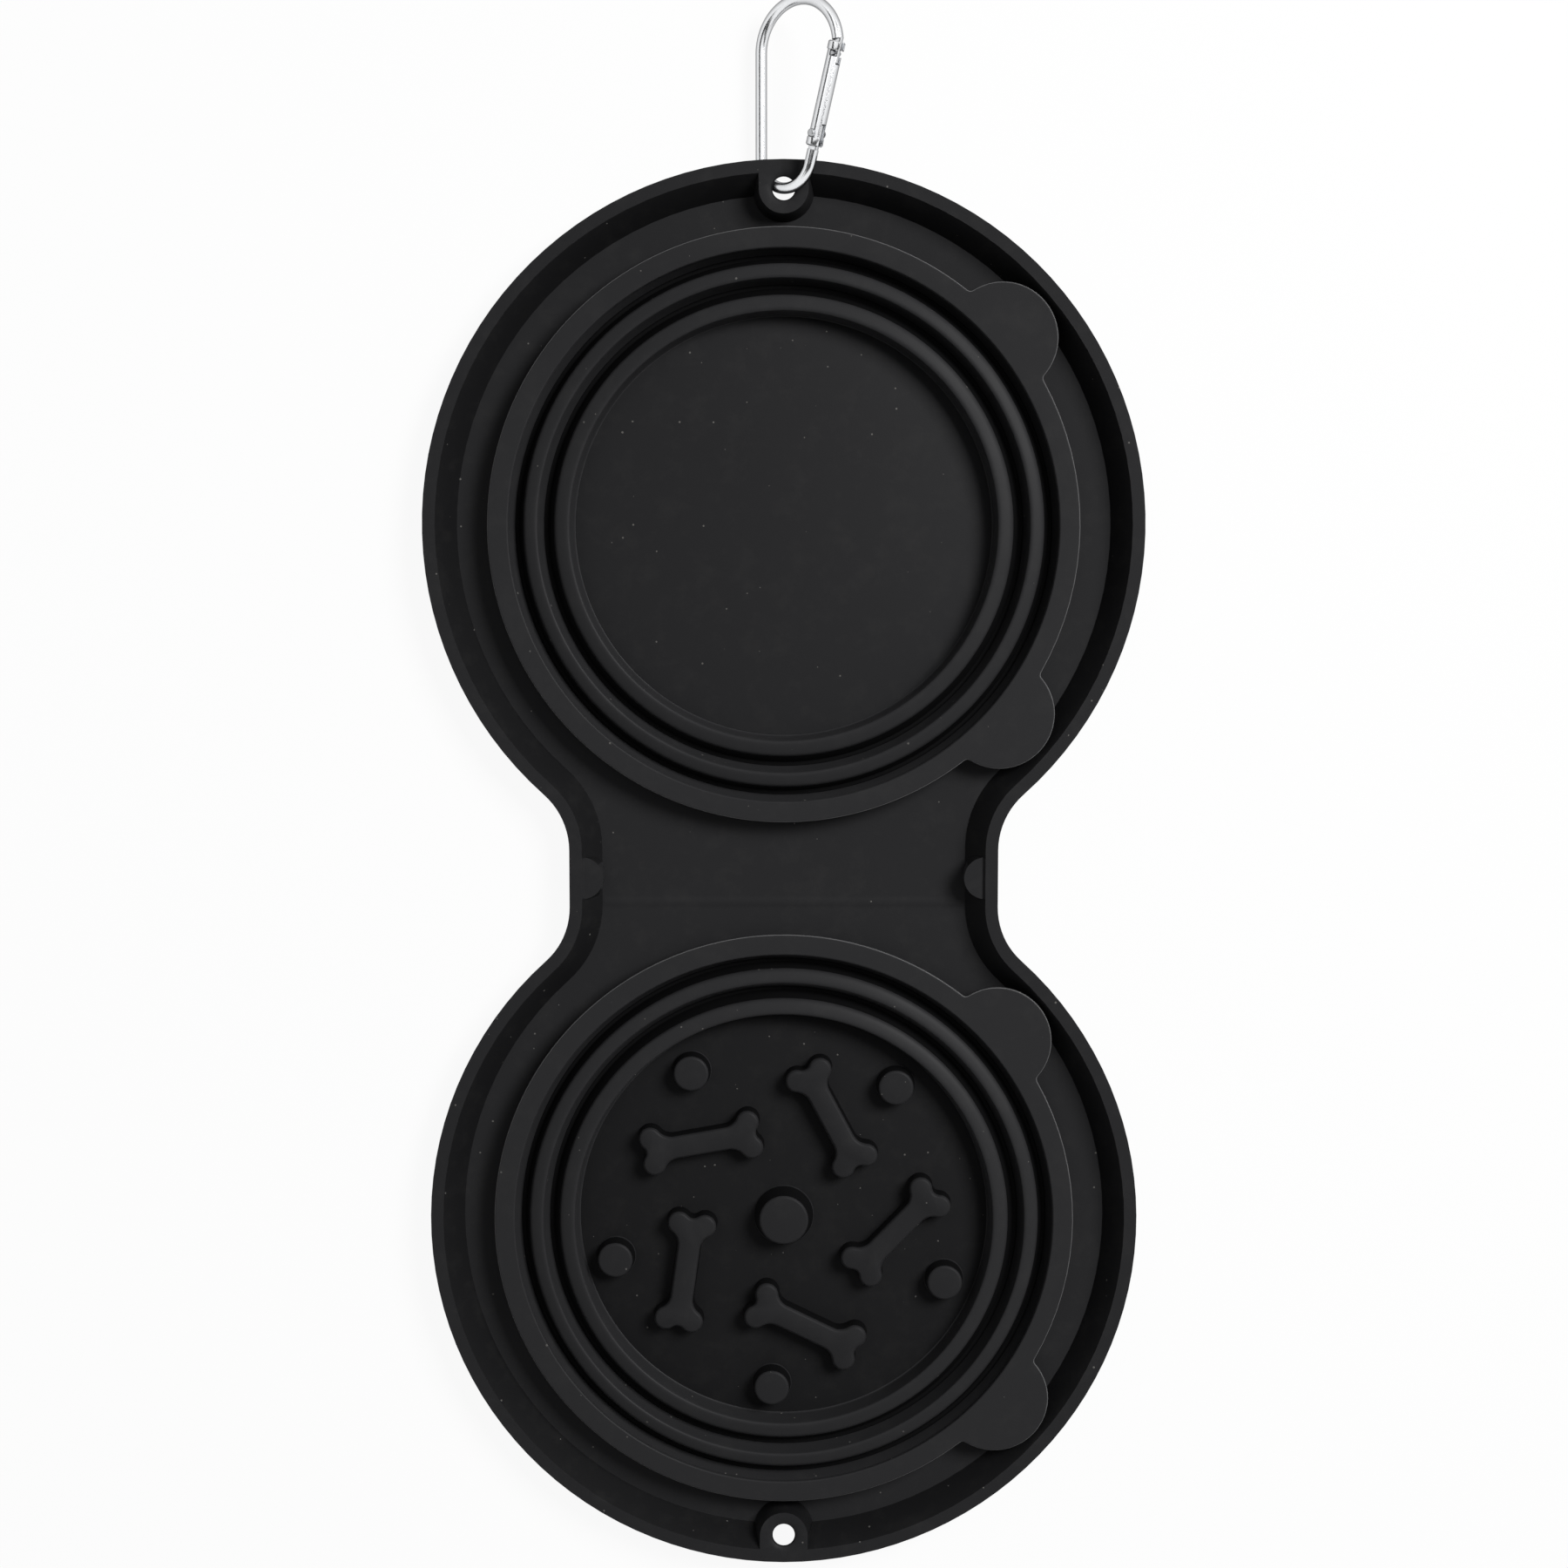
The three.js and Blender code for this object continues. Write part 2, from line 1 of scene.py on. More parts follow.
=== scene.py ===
"""Collapsible slow feeder bowl: a folding silicone tray with a water bowl, a slow feeder bowl
and a small spring-gate carabiner, laid out as an add-on and run as a script."""

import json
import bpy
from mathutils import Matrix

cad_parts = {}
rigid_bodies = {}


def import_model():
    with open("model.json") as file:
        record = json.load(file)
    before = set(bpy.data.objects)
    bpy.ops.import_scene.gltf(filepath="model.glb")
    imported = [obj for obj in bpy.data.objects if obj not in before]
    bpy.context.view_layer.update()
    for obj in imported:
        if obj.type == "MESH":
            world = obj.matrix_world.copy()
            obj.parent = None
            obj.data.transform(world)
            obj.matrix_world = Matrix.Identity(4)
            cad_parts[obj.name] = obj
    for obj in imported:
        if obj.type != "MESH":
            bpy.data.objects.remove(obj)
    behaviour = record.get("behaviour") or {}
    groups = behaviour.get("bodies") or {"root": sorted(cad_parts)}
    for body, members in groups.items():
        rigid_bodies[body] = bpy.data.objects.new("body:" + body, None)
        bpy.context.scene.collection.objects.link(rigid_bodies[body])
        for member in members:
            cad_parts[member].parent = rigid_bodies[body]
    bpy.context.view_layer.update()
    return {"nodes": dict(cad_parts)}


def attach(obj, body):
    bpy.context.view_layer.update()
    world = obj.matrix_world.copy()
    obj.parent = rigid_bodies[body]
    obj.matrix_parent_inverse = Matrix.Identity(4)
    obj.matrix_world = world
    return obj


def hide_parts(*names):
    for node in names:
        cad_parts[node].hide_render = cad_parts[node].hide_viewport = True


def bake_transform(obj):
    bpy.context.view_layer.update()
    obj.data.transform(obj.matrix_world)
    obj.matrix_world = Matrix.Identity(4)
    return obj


bl_info = {
    "name": "Collapsible slow feeder bowl",
    "version": (1, 0, 0),
    "blender": (4, 5, 0),
    "location": "View3D > Sidebar > Feeder",
    "description": "Models the folding pet tray, its pop-up bowls and its carabiner",
    "category": "Add Mesh",
}

from math import acos, atan2, cos, pi, radians, sin, sqrt

import bmesh
import bpy
from bpy.props import FloatProperty, FloatVectorProperty, IntProperty, PointerProperty
from mathutils import Vector

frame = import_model()
MM = 0.001
SAME = 1e-6  # places closer than this, in metres, are one place
MERGE = 2e-6  # seams closer than this are merged
NEAR = 1e-5  # places closer than this lie on one outline
STEEP = 0.45  # a face counts as a side while its normal rises less than this
BURY = 0.4 * MM  # how far a raised piece reaches into the one under it
PLAY = 0.3 * MM  # clearance between pieces that move
NOSE_GAP = 0.6 * MM  # from the gate's upper end to the rod's nose
TAIL_GAP = 0.9 * MM  # from the gate's tail to the rod's stub


def length(name, description, default):
    return FloatProperty(
        name=name, description=description, default=default * MM, unit="LENGTH", precision=5
    )


def degrees(name, description, default):
    return FloatProperty(
        name=name, description=description, default=radians(default), subtype="ANGLE"
    )


def colour(name, description, default):
    return FloatVectorProperty(
        name=name, description=description, default=default, size=3, subtype="COLOR", min=0, max=1
    )


class TraySizes(bpy.types.PropertyGroup):
    """Sizes of the figure-of-eight tray."""

    radius: length("Radius", "Outer edge of each round half", 95)
    bowl_y: length("Bowl centre", "From the waist's middle to a bowl's centre", 93)
    waist: length("Half waist", "From the middle to the waist's edge", 57)
    fillet: length("Waist corner", "Hollow corner beside the waist", 20)
    flange: length("Flange", "Width of the flat edge", 3.34)
    wall_run: length("Wall run", "How far the wall leans out", 5)
    depth: length("Depth", "From floor to flange top", 7.1)
    sheet: length("Sheet", "Thickness of the moulding", 2)
    fold_y: length("Fold line", "From the middle to each fold line", 7.25)
    lug_y: length("Lug hole", "From the middle to each hanging hole", 180.6)
    lug_radius: length("Lug", "Half the width of a hanging lug", 6.5)
    lug_draft: length("Lug draft", "How far the lug's wall leans out", 1.5)
    lug_wall: length("Lug wall", "Thickness of the lug's wall", 1.5)
    hole: length("Hole", "Radius of the hanging hole", 3)
    hole_flare: length("Hole flare", "How much wider the hole's mouths are", 1.4)
    pad: length("Pad", "Radius of the half-round waist pads", 5.6)


class BowlSizes(bpy.types.PropertyGroup):
    """Sizes of one collapsed bowl, from its floor outwards."""

    floor: length("Floor", "Radius of the bowl floor", 55.4)
    wall_run: length("Inner wall run", "How far the inner wall leans out", 1.7)
    wall: length("Wall", "Thickness of the bowl's firm walls", 1.7)
    crest: length("Crest", "How far a ridge reaches in over its wall", 0.9)
    web: length("Web", "Thickness of the cones that flip", 1.4)
    lower_groove: length("Lower groove", "Width of the inner groove at the top", 4.7)
    upper_groove: length("Upper groove", "Width of the outer groove at the top", 3.8)
    groove_foot: length("Groove foot", "Width of both grooves at the bottom", 1)
    rim: length("Rim", "Width of the flat rim", 5.6)
    rim_thickness: length("Rim thickness", "Thickness of the flat rim", 1.6)
    rim_top: length("Rim top", "Height of the rim", 9)
    cap_z: length("Ridge", "Height where the rounded ridges start", 7)
    valley_top: length("Valley", "Height of the groove floors", 3.6)
    valley_under: length("Valley underside", "Lowest point of the folds", 2.4)
    tab_angle: degrees("Tab angle", "From the cross axis to each pull tab", 40.7)
    tab_radius: length("Tab", "Radius of a pull tab", 14.6)
    tab_circle: length("Tab circle", "From the bowl's centre to a tab's centre", 75.36)
    tab_fillet: length("Tab corner", "Hollow corner beside a pull tab", 1.3)
    facets: IntProperty(name="Steps", description="Steps round a bowl", default=144, min=24)


class FeederSizes(bpy.types.PropertyGroup):
    """Sizes of the slow feeder's raised pattern."""

    count: IntProperty(name="Count", description="Bones, and studs, round the floor", default=5)
    height: length("Height", "Bones and studs above the floor", 5.2)
    round: length("Rounding", "Rounded top edge", 0.8)
    bone_start: degrees("First bone", "Angle to the first bone", -7)
    bone_turn: degrees("Bone turn", "From the radius to the bone's length", 53)
    bone_circle: length("Bone circle", "From the centre to a bone's middle", 30.5)
    bone_length: length("Bone length", "End to end", 33.4)
    bone_end: length("Bone end", "Width over both knobs", 13.8)
    bone_knob: length("Knob", "Radius of a knob", 3.4)
    bone_shaft: length("Shaft", "Width of the shaft", 6.7)
    bone_neck: length("Neck", "Hollow corner between a knob and the shaft", 4)
    bone_notch: length("Notch", "Hollow corner between two knobs", 1.8)
    bone_draft: length("Bone draft", "How far a bone's sides lean in", 0.3)
    stud_start: degrees("First stud", "Angle to the first stud", 50)
    stud_circle: length("Stud circle", "From the centre to a stud", 47)
    stud: length("Stud", "Radius of a stud at its foot", 5.2)
    stud_draft: length("Stud draft", "How far a stud's side leans in", 0.45)
    centre: length("Centre stud", "Radius of the middle stud at its foot", 8)
    centre_draft: length("Centre draft", "How far its side leans in", 1.3)
    centre_height: length("Centre height", "Middle stud above the floor", 6.4)


class CarabinerSizes(bpy.types.PropertyGroup):
    """Sizes of the carabiner, drawn flat from the middle of the lug's hole."""

    rod: length("Rod", "Radius of the rod", 1.5)
    tilt: degrees("Tilt", "From the tray to the loop's plane", 38)
    leg: length("Leg", "From the hole to the straight leg", 7.4)
    bend: length("Bend", "Radius of the bend through the hole", 8.2)
    lean: degrees("Gate lean", "From the leg to the gate", 16.3)
    stub: length("Stub", "From the bend to the gate's pivot", 7.4)
    gate: length("Gate", "Radius of the gate", 1.95)
    collar: length("Collar", "How far the gate's two collars stand out", 0.28)
    collar_length: length("Collar length", "Length of a collar", 2.1)
    tail: length("Gate tail", "Gate below the pivot", 3.2)
    reach: length("Gate reach", "Gate above the pivot", 23.4)
    arch_end: degrees("Nose", "Left out of the half round at the nose", 5)
    tongue: length("Tongue", "Thickness of the flat tongues", 1.2)
    centre_z: length("Height", "Middle of the lug's plate", 8.1)


class Finishes(bpy.types.PropertyGroup):
    """Colours of the finishes."""

    silicone: colour("Silicone", "Matte black moulding", (0.0172, 0.0172, 0.0182))
    # Painted light: rims and ridges are coloured paler than the tray, as if they caught more light
    bowl: colour("Bowl", "Rims and ridges, a little paler as painted light", (0.0215, 0.0215, 0.0226))
    # Painted shade: the tray's leaning walls are coloured darker than its floor and flange
    wall: colour("Wall", "Leaning walls of the tray, darker as painted shade", (0.0078, 0.0078, 0.0083))
    feeder_floor: colour("Feeder floor", "Finer grain between the bones", (0.0105, 0.0105, 0.0111))
    # Painted shade: near-black for the hollows of the folds and the sides of the bones and studs
    groove: colour("Groove", "Dust-free silicone, near-black as painted shade, in the folds", (0.0028, 0.0028, 0.003))
    # Dust and painted highlight: a pale line on the rims' rounded outer edge
    edge: colour("Edge", "Dust and a painted highlight on the rims' outer edge", (0.11, 0.11, 0.112))
    dust: colour("Dust", "Fine dust on the silicone", (0.16, 0.155, 0.145))
    aluminium: colour("Aluminium", "Polished rod and gate", (0.86, 0.87, 0.885))
    steel: colour("Steel", "Pins and spring", (0.52, 0.53, 0.54))
    # Painted reflection: the dark tone of polished metal where it turns away from the camera
    painted_metal_reflection: colour("Metal edge", "Metal seen at a slant", (0.045, 0.045, 0.05))


class StageSizes(bpy.types.PropertyGroup):
    """Where the camera stands and looks."""

    distance: length("Distance", "From the camera to the tray", 700)
    tilt: degrees("Tilt", "How far the camera leans towards the water bowl", 5.54)
    lens: FloatProperty(
        name="Lens", description="Focal length", default=60.29, unit="CAMERA"
    )
    aim_x: length("Aim across", "Where the camera looks", 0.08)
    aim_y: length("Aim along", "Where the camera looks", 24.92)


MATERIALS = {}


# Modelling helpers


def leave():
    """Go back to object mode."""
    bpy.ops.object.mode_set(mode="OBJECT")


def deselect():
    """Leave edit mode and clear the selection."""
    if bpy.context.object and bpy.context.object.mode != "OBJECT":
        leave()
    bpy.ops.object.select_all(action="DESELECT")


def pick(piece):
    """Make one piece the only selected and active object."""
    deselect()
    piece.select_set(True)
    bpy.context.view_layer.objects.active = piece


def remove(*pieces):
    for piece in pieces:
        pick(piece)
        bpy.ops.object.delete()


def added(name):
    """Name the object that was just added."""
    piece = bpy.context.object
    piece.name = name
    return piece


def settle(piece, at=(0, 0, 0), turn=(0, 0, 0)):
    """Move and turn a piece, then apply that and its scale."""
    pick(piece)
    piece.location, piece.rotation_euler = at, turn
    bpy.ops.object.transform_apply(location=True, rotation=True, scale=True)
    return piece


def joined(pieces):
    """Join pieces into the first of them."""
    pick(pieces[0])
    for piece in pieces[1:]:
        piece.select_set(True)
    bpy.ops.object.join()
    return pieces[0]


def select_all(action="SELECT"):
    bpy.ops.mesh.select_all(action=action)


def edit(piece):
    """Enter edit mode on a piece with all of it selected."""
    pick(piece)
    bpy.ops.object.mode_set(mode="EDIT")
    bpy.ops.mesh.select_mode(type="VERT")
    select_all()


def select_where(piece, test, kind="verts"):
    """Select what passes a test, in edit mode."""
    bpy.ops.mesh.select_mode(type=kind[:-1].upper())
    select_all("DESELECT")
    mesh = bmesh.from_edit_mesh(piece.data)
    for part in getattr(mesh, kind):
        part.select_set(bool(test(part)))
    mesh.select_flush_mode()
    bmesh.update_edit_mesh(piece.data)


def extrude(by):
    bpy.ops.mesh.extrude_region_move(TRANSFORM_OT_translate={"value": by})


def raise_outline(by):
    """Fill the outline that was just drawn, and raise it."""
    select_all()
    bpy.ops.mesh.edge_face_add()
    extrude((0, 0, by))


def spin(steps, angle, centre):
    """Sweep the selection about an upright axis, clockwise seen from above."""
    bpy.ops.mesh.spin(steps=steps, angle=angle, center=centre, axis=(0, 0, 1))


class Pencil:
    """Draws an outline in edit mode, one extrude or spin at a time."""

    def __init__(self, at, name=None):
        """Start at a point, in a new piece if it gets a name or else in the one being edited."""
        self.first = self.at = Vector(at)
        if name:
            deselect()
        bpy.ops.mesh.primitive_plane_add(size=MM, location=(0, 0, 0))
        self.piece = bpy.context.object
        if name:
            self.piece.name = name
            bpy.ops.object.mode_set(mode="EDIT")
        bpy.ops.mesh.select_mode(type="VERT")
        bpy.ops.mesh.merge(type="CENTER")
        bpy.ops.transform.translate(value=self.at)

    def line(self, to):
        to = Vector(to)
        if (to - self.at).length > SAME / 10:
            extrude(to - self.at)
            self.at = to

    def arc(self, centre, angle, steps):
        """Turn about an upright axis, anticlockwise seen from above."""
        centre = Vector(centre)
        spin(steps, -angle, centre)
        arm = self.at - centre
        c, s = cos(angle), sin(angle)
        self.at = centre + Vector((arm.x * c - arm.y * s, arm.x * s + arm.y * c, arm.z))
        return self

    def close(self):
        """Run back to the first point and join the two ends."""
        self.line(self.first)
        bpy.ops.mesh.select_linked()
        bpy.ops.mesh.remove_doubles(threshold=SAME)
        return self.piece


def half_round(centre, z, radius, start, stop, steps):
    """Profile points of an arc, as (radius, height)."""
    turns = [start + (stop - start) * i / steps for i in range(steps + 1)]
    return [(centre + radius * cos(t), z + radius * sin(t)) for t in turns]


def ridge_cap(outer, inner, z, height):
    """Profile points over a ridge from outside to inside, with its crest near the inner edge."""
    shape = ((0, 0), (0.03, 0.26), (0.1, 0.47), (0.25, 0.66), (0.45, 0.82), (0.62, 0.93),
             (0.74, 0.99), (0.82, 1), (0.9, 0.97), (0.96, 0.87), (0.99, 0.72), (1, 0.55))
    return [(outer + (inner - outer) * u, z + height * v) for u, v in shape]


def close_up():
    """Merge seams, point the faces outwards and leave edit mode."""
    select_all()
    bpy.ops.mesh.remove_doubles(threshold=MERGE)
    bpy.ops.mesh.delete_loose()
    select_all()
    bpy.ops.mesh.normals_make_consistent(inside=False)
    leave()


def turned(name, profile, steps, centre=(0, 0)):
    """A closed profile of (radius, height) pairs, spun about an upright axis."""
    points = [Vector((centre[0] + r, centre[1], z)) for r, z in profile]
    pen = Pencil(points[0], name)
    for point in points[1:]:
        pen.line(point)
    piece = pen.close()
    select_all()
    spin(steps, 2 * pi, (*centre, 0))
    close_up()
    return piece


def smooth(piece, angle):
    """Shade smooth below an angle in degrees."""
    pick(piece)
    bpy.ops.object.shade_smooth_by_angle(angle=radians(angle))
    return piece


def copy_of(piece, name, move=(0, 0, 0)):
    """A copy with its own mesh, moved and applied."""
    pick(piece)
    bpy.ops.object.duplicate()
    return settle(added(name), move)


def modify(piece, kind, **settings):
    """Add a modifier and apply it."""
    pick(piece)
    modifier = piece.modifiers.new(kind.title(), kind)
    for key, value in settings.items():
        setattr(modifier, key, value)
    bpy.ops.object.modifier_apply(modifier=modifier.name)


def round_edges(piece, width, angle, clamp):
    """Round the edges that turn by more than an angle in degrees."""
    modify(piece, "BEVEL", width=width, segments=3, limit_method="ANGLE",
           angle_limit=radians(angle), use_clamp_overlap=clamp)


def even_shading(piece):
    """Let the large faces set the shading of the narrow ones beside them."""
    modify(piece, "WEIGHTED_NORMAL", keep_sharp=True, weight=60)


def cut_with(piece, tool, operation="DIFFERENCE"):
    """Join or cut a piece with another, which is then removed."""
    modify(piece, "BOOLEAN", object=tool, operation=operation, solver="EXACT")
    remove(tool)


def finish(piece, look):
    """Give a piece its material."""
    piece.data.materials.clear()
    piece.data.materials.append(MATERIALS[look])


def shade_where(piece, test, look):
    """Give the faces that pass a test another finish."""
    piece.data.materials.append(MATERIALS[look])
    edit(piece)
    select_where(piece, test, "faces")
    piece.active_material_index = len(piece.data.materials) - 1
    bpy.ops.object.material_slot_assign()
    leave()


def shade_below(piece, z, look):
    """Give the faces below a height another finish."""
    shade_where(piece, lambda f: max(v.co.z for v in f.verts) < z, look)


# Materials


def feed(tree, node, inputs):
    """Set each input to a value, or link it where it is given as (node, output)."""
    for entry, value in inputs.items():
        if isinstance(value, tuple) and isinstance(value[0], bpy.types.Node):
            tree.links.new(value[0].outputs[value[1]], node.inputs[entry])
        else:
            node.inputs[entry].default_value = value


def add(tree, kind, inputs=(), **settings):
    """A shader node with its settings and inputs."""
    node = tree.nodes.new("ShaderNode" + kind)
    for key, value in settings.items():
        setattr(node, key, value)
    feed(tree, node, dict(inputs))
    return node


def maths(tree, operation, *values):
    return add(tree, "Math", dict(enumerate(values)), operation=operation), "Value"


def noise(tree, place, scale, detail, roughness=0.55):
    inputs = {"Vector": place, "Scale": scale, "Detail": detail, "Roughness": roughness}
    return add(tree, "TexNoise", inputs), "Fac"


def remap(tree, source, low, high, to_low, to_high):
    inputs = {"Value": source, "From Min": low, "From Max": high, "To Min": to_low,
              "To Max": to_high}
    return add(tree, "MapRange", inputs), "Result"


def blend_colours(tree, share, first, second):
    return add(tree, "Mix", {"Factor": share, "A": first, "B": second}, data_type="RGBA"), "Result"


def new_group(name, **more):
    """A shader node group with the sockets that every surface has, and more inputs."""
    tree = bpy.data.node_groups.new(name, "ShaderNodeTree")
    shared = {"Colour": "Color", "Roughness": "Float"}
    inputs, outputs = {"Place": "Vector", **shared, **more}, {**shared, "Height": "Float"}
    for side, sockets in (("INPUT", inputs), ("OUTPUT", outputs)):
        for label, kind in sockets.items():
            tree.interface.new_socket(label, in_out=side, socket_type="NodeSocket" + kind)
    return tree, tree.nodes.new("NodeGroupInput"), tree.nodes.new("NodeGroupOutput")


def silicone_group():
    """Mottled sheen, a fine moulded grain and specks of dust."""
    tree, start, end = new_group("Moulded silicone", Dust="Float", Tint="Color")
    place = (start, "Place")
    clouds = noise(tree, place, 28.0, 4.0)
    smears = noise(tree, place, 160.0, 5.0, 0.65)
    grain = noise(tree, place, 2600.0, 2.0)
    cells = add(tree, "TexVoronoi", {"Vector": place, "Scale": 330.0})
    chance = add(tree, "SeparateColor", {"Color": (cells, "Color")})
    few = maths(tree, "GREATER_THAN", (chance, "Red"), 0.7)
    size = remap(tree, (chance, "Green"), 0.0, 1.0, 0.02, 0.1)
    near = maths(tree, "LESS_THAN", (cells, "Distance"), size)
    specks = maths(tree, "MULTIPLY", few, near)
    film = remap(tree, smears, 0.5, 0.8, 0.0, 0.05)
    dusty = maths(tree, "MAXIMUM", specks, film)
    amount = maths(tree, "MULTIPLY", dusty, (start, "Dust"))
    sheen = remap(tree, clouds, 0.3, 0.7, -0.05, 0.05)
    rough = maths(tree, "ADD", (start, "Roughness"), sheen)
    waves = remap(tree, clouds, 0.0, 1.0, 0.0, 1.5)
    feed(tree, end, {
        "Colour": blend_colours(tree, amount, (start, "Colour"), (start, "Tint")),
        "Roughness": maths(tree, "ADD", rough, film),
        "Height": maths(tree, "ADD", grain, waves),
    })
    return tree


def scratch_group():
    """Fine scratches and a slight change of polish along a metal bar."""
    tree, start, end = new_group("Polish marks")
    stretch = add(tree, "Mapping", {"Vector": (start, "Place"), "Scale": (1.0, 0.12, 1.0)})
    lines = noise(tree, (stretch, "Vector"), 3800.0, 2.0)
    stains = noise(tree, (start, "Place"), 240.0, 4.0)
    tone = remap(tree, stains, 0.35, 0.75, 1.0, 0.96)
    shade = add(tree, "VectorMath", {0: (start, "Colour"), "Scale": tone}, operation="SCALE")
    change = remap(tree, lines, 0.3, 0.7, -0.02, 0.04)
    feed(tree, end, {
        "Colour": (shade, "Vector"),
        "Roughness": maths(tree, "ADD", (start, "Roughness"), change),
        "Height": lines,
    })
    return tree


def new_material(name):
    """A plain material, with its tree and shader."""
    made = bpy.data.materials.new(name)
    made.use_nodes = True
    return made, made.node_tree, made.node_tree.nodes["Principled BSDF"]


def material(name, group, values, bump, metallic=0.0, specular=0.5):
    """A material around a surface group."""
    made, tree, shader = new_material(name)
    place = add(tree, "TexCoord")
    surface = add(tree, "Group", node_tree=group)
    feed(tree, surface, {"Place": (place, "Object"), **values})
    relief = add(tree, "Bump", {
        "Strength": bump, "Distance": 0.05 * MM, "Height": (surface, "Height")
    })
    feed(tree, shader, {
        "Base Color": (surface, "Colour"), "Roughness": (surface, "Roughness"),
        "Normal": (relief, "Normal"), "Metallic": metallic, "Specular IOR Level": specular,
    })
    return made


def paint_edge_reflection(made, tint):
    """Paint a darker reflection on a metal where its surface turns away, as polished bar shows in
    a white room.
    """
    tree = made.node_tree
    shader = tree.nodes["Principled BSDF"]
    plain = shader.inputs["Base Color"].links[0].from_node
    slant = add(tree, "LayerWeight", {"Blend": 0.5})
    share = remap(tree, (slant, "Facing"), 0.16, 0.72, 0.0, 0.9)
    feed(tree, shader, {"Base Color": blend_colours(tree, share, (plain, "Colour"), tint)})


def make_materials():
    """All finishes of the object, by name."""
    finishes = bpy.context.scene.feeder_finishes
    silicone, metal = silicone_group(), scratch_group()
    tint = (*finishes.dust, 1)

    def moulded(name, dust, roughness, base=finishes.silicone, specular=0.07):
        values = {"Colour": (*base, 1), "Tint": tint, "Dust": dust, "Roughness": roughness}
        return material(name, silicone, values, 0.35, specular=specular)

    def polished(name, base, roughness):
        values = {"Colour": (*base, 1), "Roughness": roughness}
        made = material(name, metal, values, 0.02, metallic=1.0)
        # Painted reflection: darker where the bar turns away
        paint_edge_reflection(made, (*finishes.painted_metal_reflection, 1))
        return made

    return {
        "tray": moulded("Tray silicone", 0.75, 0.5),
        # Painted shade: the darker wall colour
        "wall": moulded("Wall silicone", 0.6, 0.5, finishes.wall),
        # Painted light: the paler bowl colour
        "bowl": moulded("Bowl silicone", 0.6, 0.44, finishes.bowl),
        "water_floor": moulded("Water floor silicone", 0.7, 0.52),
        "feeder_floor": moulded("Feeder floor silicone", 0.6, 0.6, finishes.feeder_floor, 0.05),
        # Painted shade: the near-black groove colour, without dust
        "groove": moulded("Groove silicone", 0.0, 0.7, finishes.groove, 0.05),
        # Dust and painted highlight on the rims' outer edge
        "edge": moulded("Dusty edge", 1.0, 0.6, finishes.edge),
        "pattern": moulded("Pattern silicone", 0.6, 0.5),
        "aluminium": polished("Polished aluminium", finishes.aluminium, 0.2),
        "steel": polished("Pin steel", finishes.steel, 0.3),
    }


# Tray


def tray_loop(tray, inset, z, lug, name=None):
    """One closed figure-of-eight at a height, with a notch for each lug where it has a width."""
    corner_steps, lug_steps, arc_steps, whole_steps = 10, 16, 36, 88
    radius, waist = tray.radius - inset, tray.waist - inset
    fillet_x = tray.waist + tray.fillet
    rise = sqrt((tray.radius + tray.fillet) ** 2 - fillet_x**2)
    fillet_y = tray.bowl_y - rise
    turn = atan2(rise, fillet_x)
    pen = Pencil((waist, 0, z), name)
    for side in (1, -1):
        bowl = (0, side * tray.bowl_y, z)
        pen.line((side * waist, side * fillet_y, z))
        pen.arc((side * fillet_x, side * fillet_y, z), -turn, corner_steps)
        if lug:
            reach = acos(lug / radius)
            pen.arc(bowl, turn + reach, arc_steps)
            pen.line((side * lug, side * tray.lug_y, z))
            pen.arc((0, side * tray.lug_y, z), -pi, lug_steps)
            top = tray.bowl_y + sqrt(radius**2 - lug**2)
            pen.line((-side * lug, side * top, z))
            pen.arc(bowl, turn + reach, arc_steps)
        else:
            pen.arc(bowl, pi + 2 * turn, whole_steps)
        pen.arc((-side * fillet_x, side * fillet_y, z), -turn, corner_steps)
        pen.line((-side * waist, 0, z))
    return pen.close()


def ring_loop(tray, side, radius, z, name=None):
    """A circle round a lug's hole."""
    centre = (0, side * tray.lug_y, z)
    return Pencil((radius, side * tray.lug_y, z), name).arc(centre, 2 * pi, 40).close()


def drawn(outlines):
    """Outlines drawn into one piece, all selected."""
    piece = outlines[0]("outlines")
    for outline in outlines[1:]:
        select_all("DESELECT")
        outline()
    select_all()
    return piece


def band(*outlines):
    """A wall between two outlines."""
    piece = drawn(outlines)
    bpy.ops.mesh.bridge_edge_loops()
    return piece


def sheet(*outlines):
    """A flat face inside one outline, or between several."""
    piece = drawn(outlines)
    if len(outlines) == 1:
        bpy.ops.mesh.edge_face_add()
    else:
        bpy.ops.mesh.fill()
    return piece


def tray_skin(tray, top):
    """The closed sheet: flange, walls, floor and hollow lugs, drawn outline by outline."""
    under = top - tray.sheet
    slope = tray.lug_draft / tray.depth
    lip = tray.flange - 1.04 * MM  # keeps the leaning wall as thick as the sheet
    roof = tray.lug_radius + slope * tray.sheet - tray.lug_wall
    foot = tray.lug_radius + slope * top - tray.lug_wall
    mouth = tray.hole + tray.hole_flare

    def outline(inset, z, lug=0):
        return lambda name=None: tray_loop(tray, inset, z, lug, name)

    def ring(side, z):
        return lambda name=None: ring_loop(tray, side, mouth, z, name)

    edge, edge_under = outline(0, top), outline(0, under)
    brink = outline(tray.flange, top, tray.lug_radius)
    floor = outline(tray.flange + tray.wall_run, tray.sheet, tray.lug_radius + tray.lug_draft)
    brink_under = outline(lip, under, roof)
    base = outline(lip + tray.wall_run, 0, foot)
    skin = joined([
        sheet(floor),
        band(brink, floor),
        sheet(edge, brink, ring(1, top), ring(-1, top)),
        band(edge, edge_under),
        sheet(edge_under, brink_under, ring(1, under), ring(-1, under)),
        band(brink_under, base),
        sheet(base),
        band(ring(1, top), ring(1, under)),
        band(ring(-1, top), ring(-1, under)),
    ])
    edit(skin)
    close_up()
    return skin


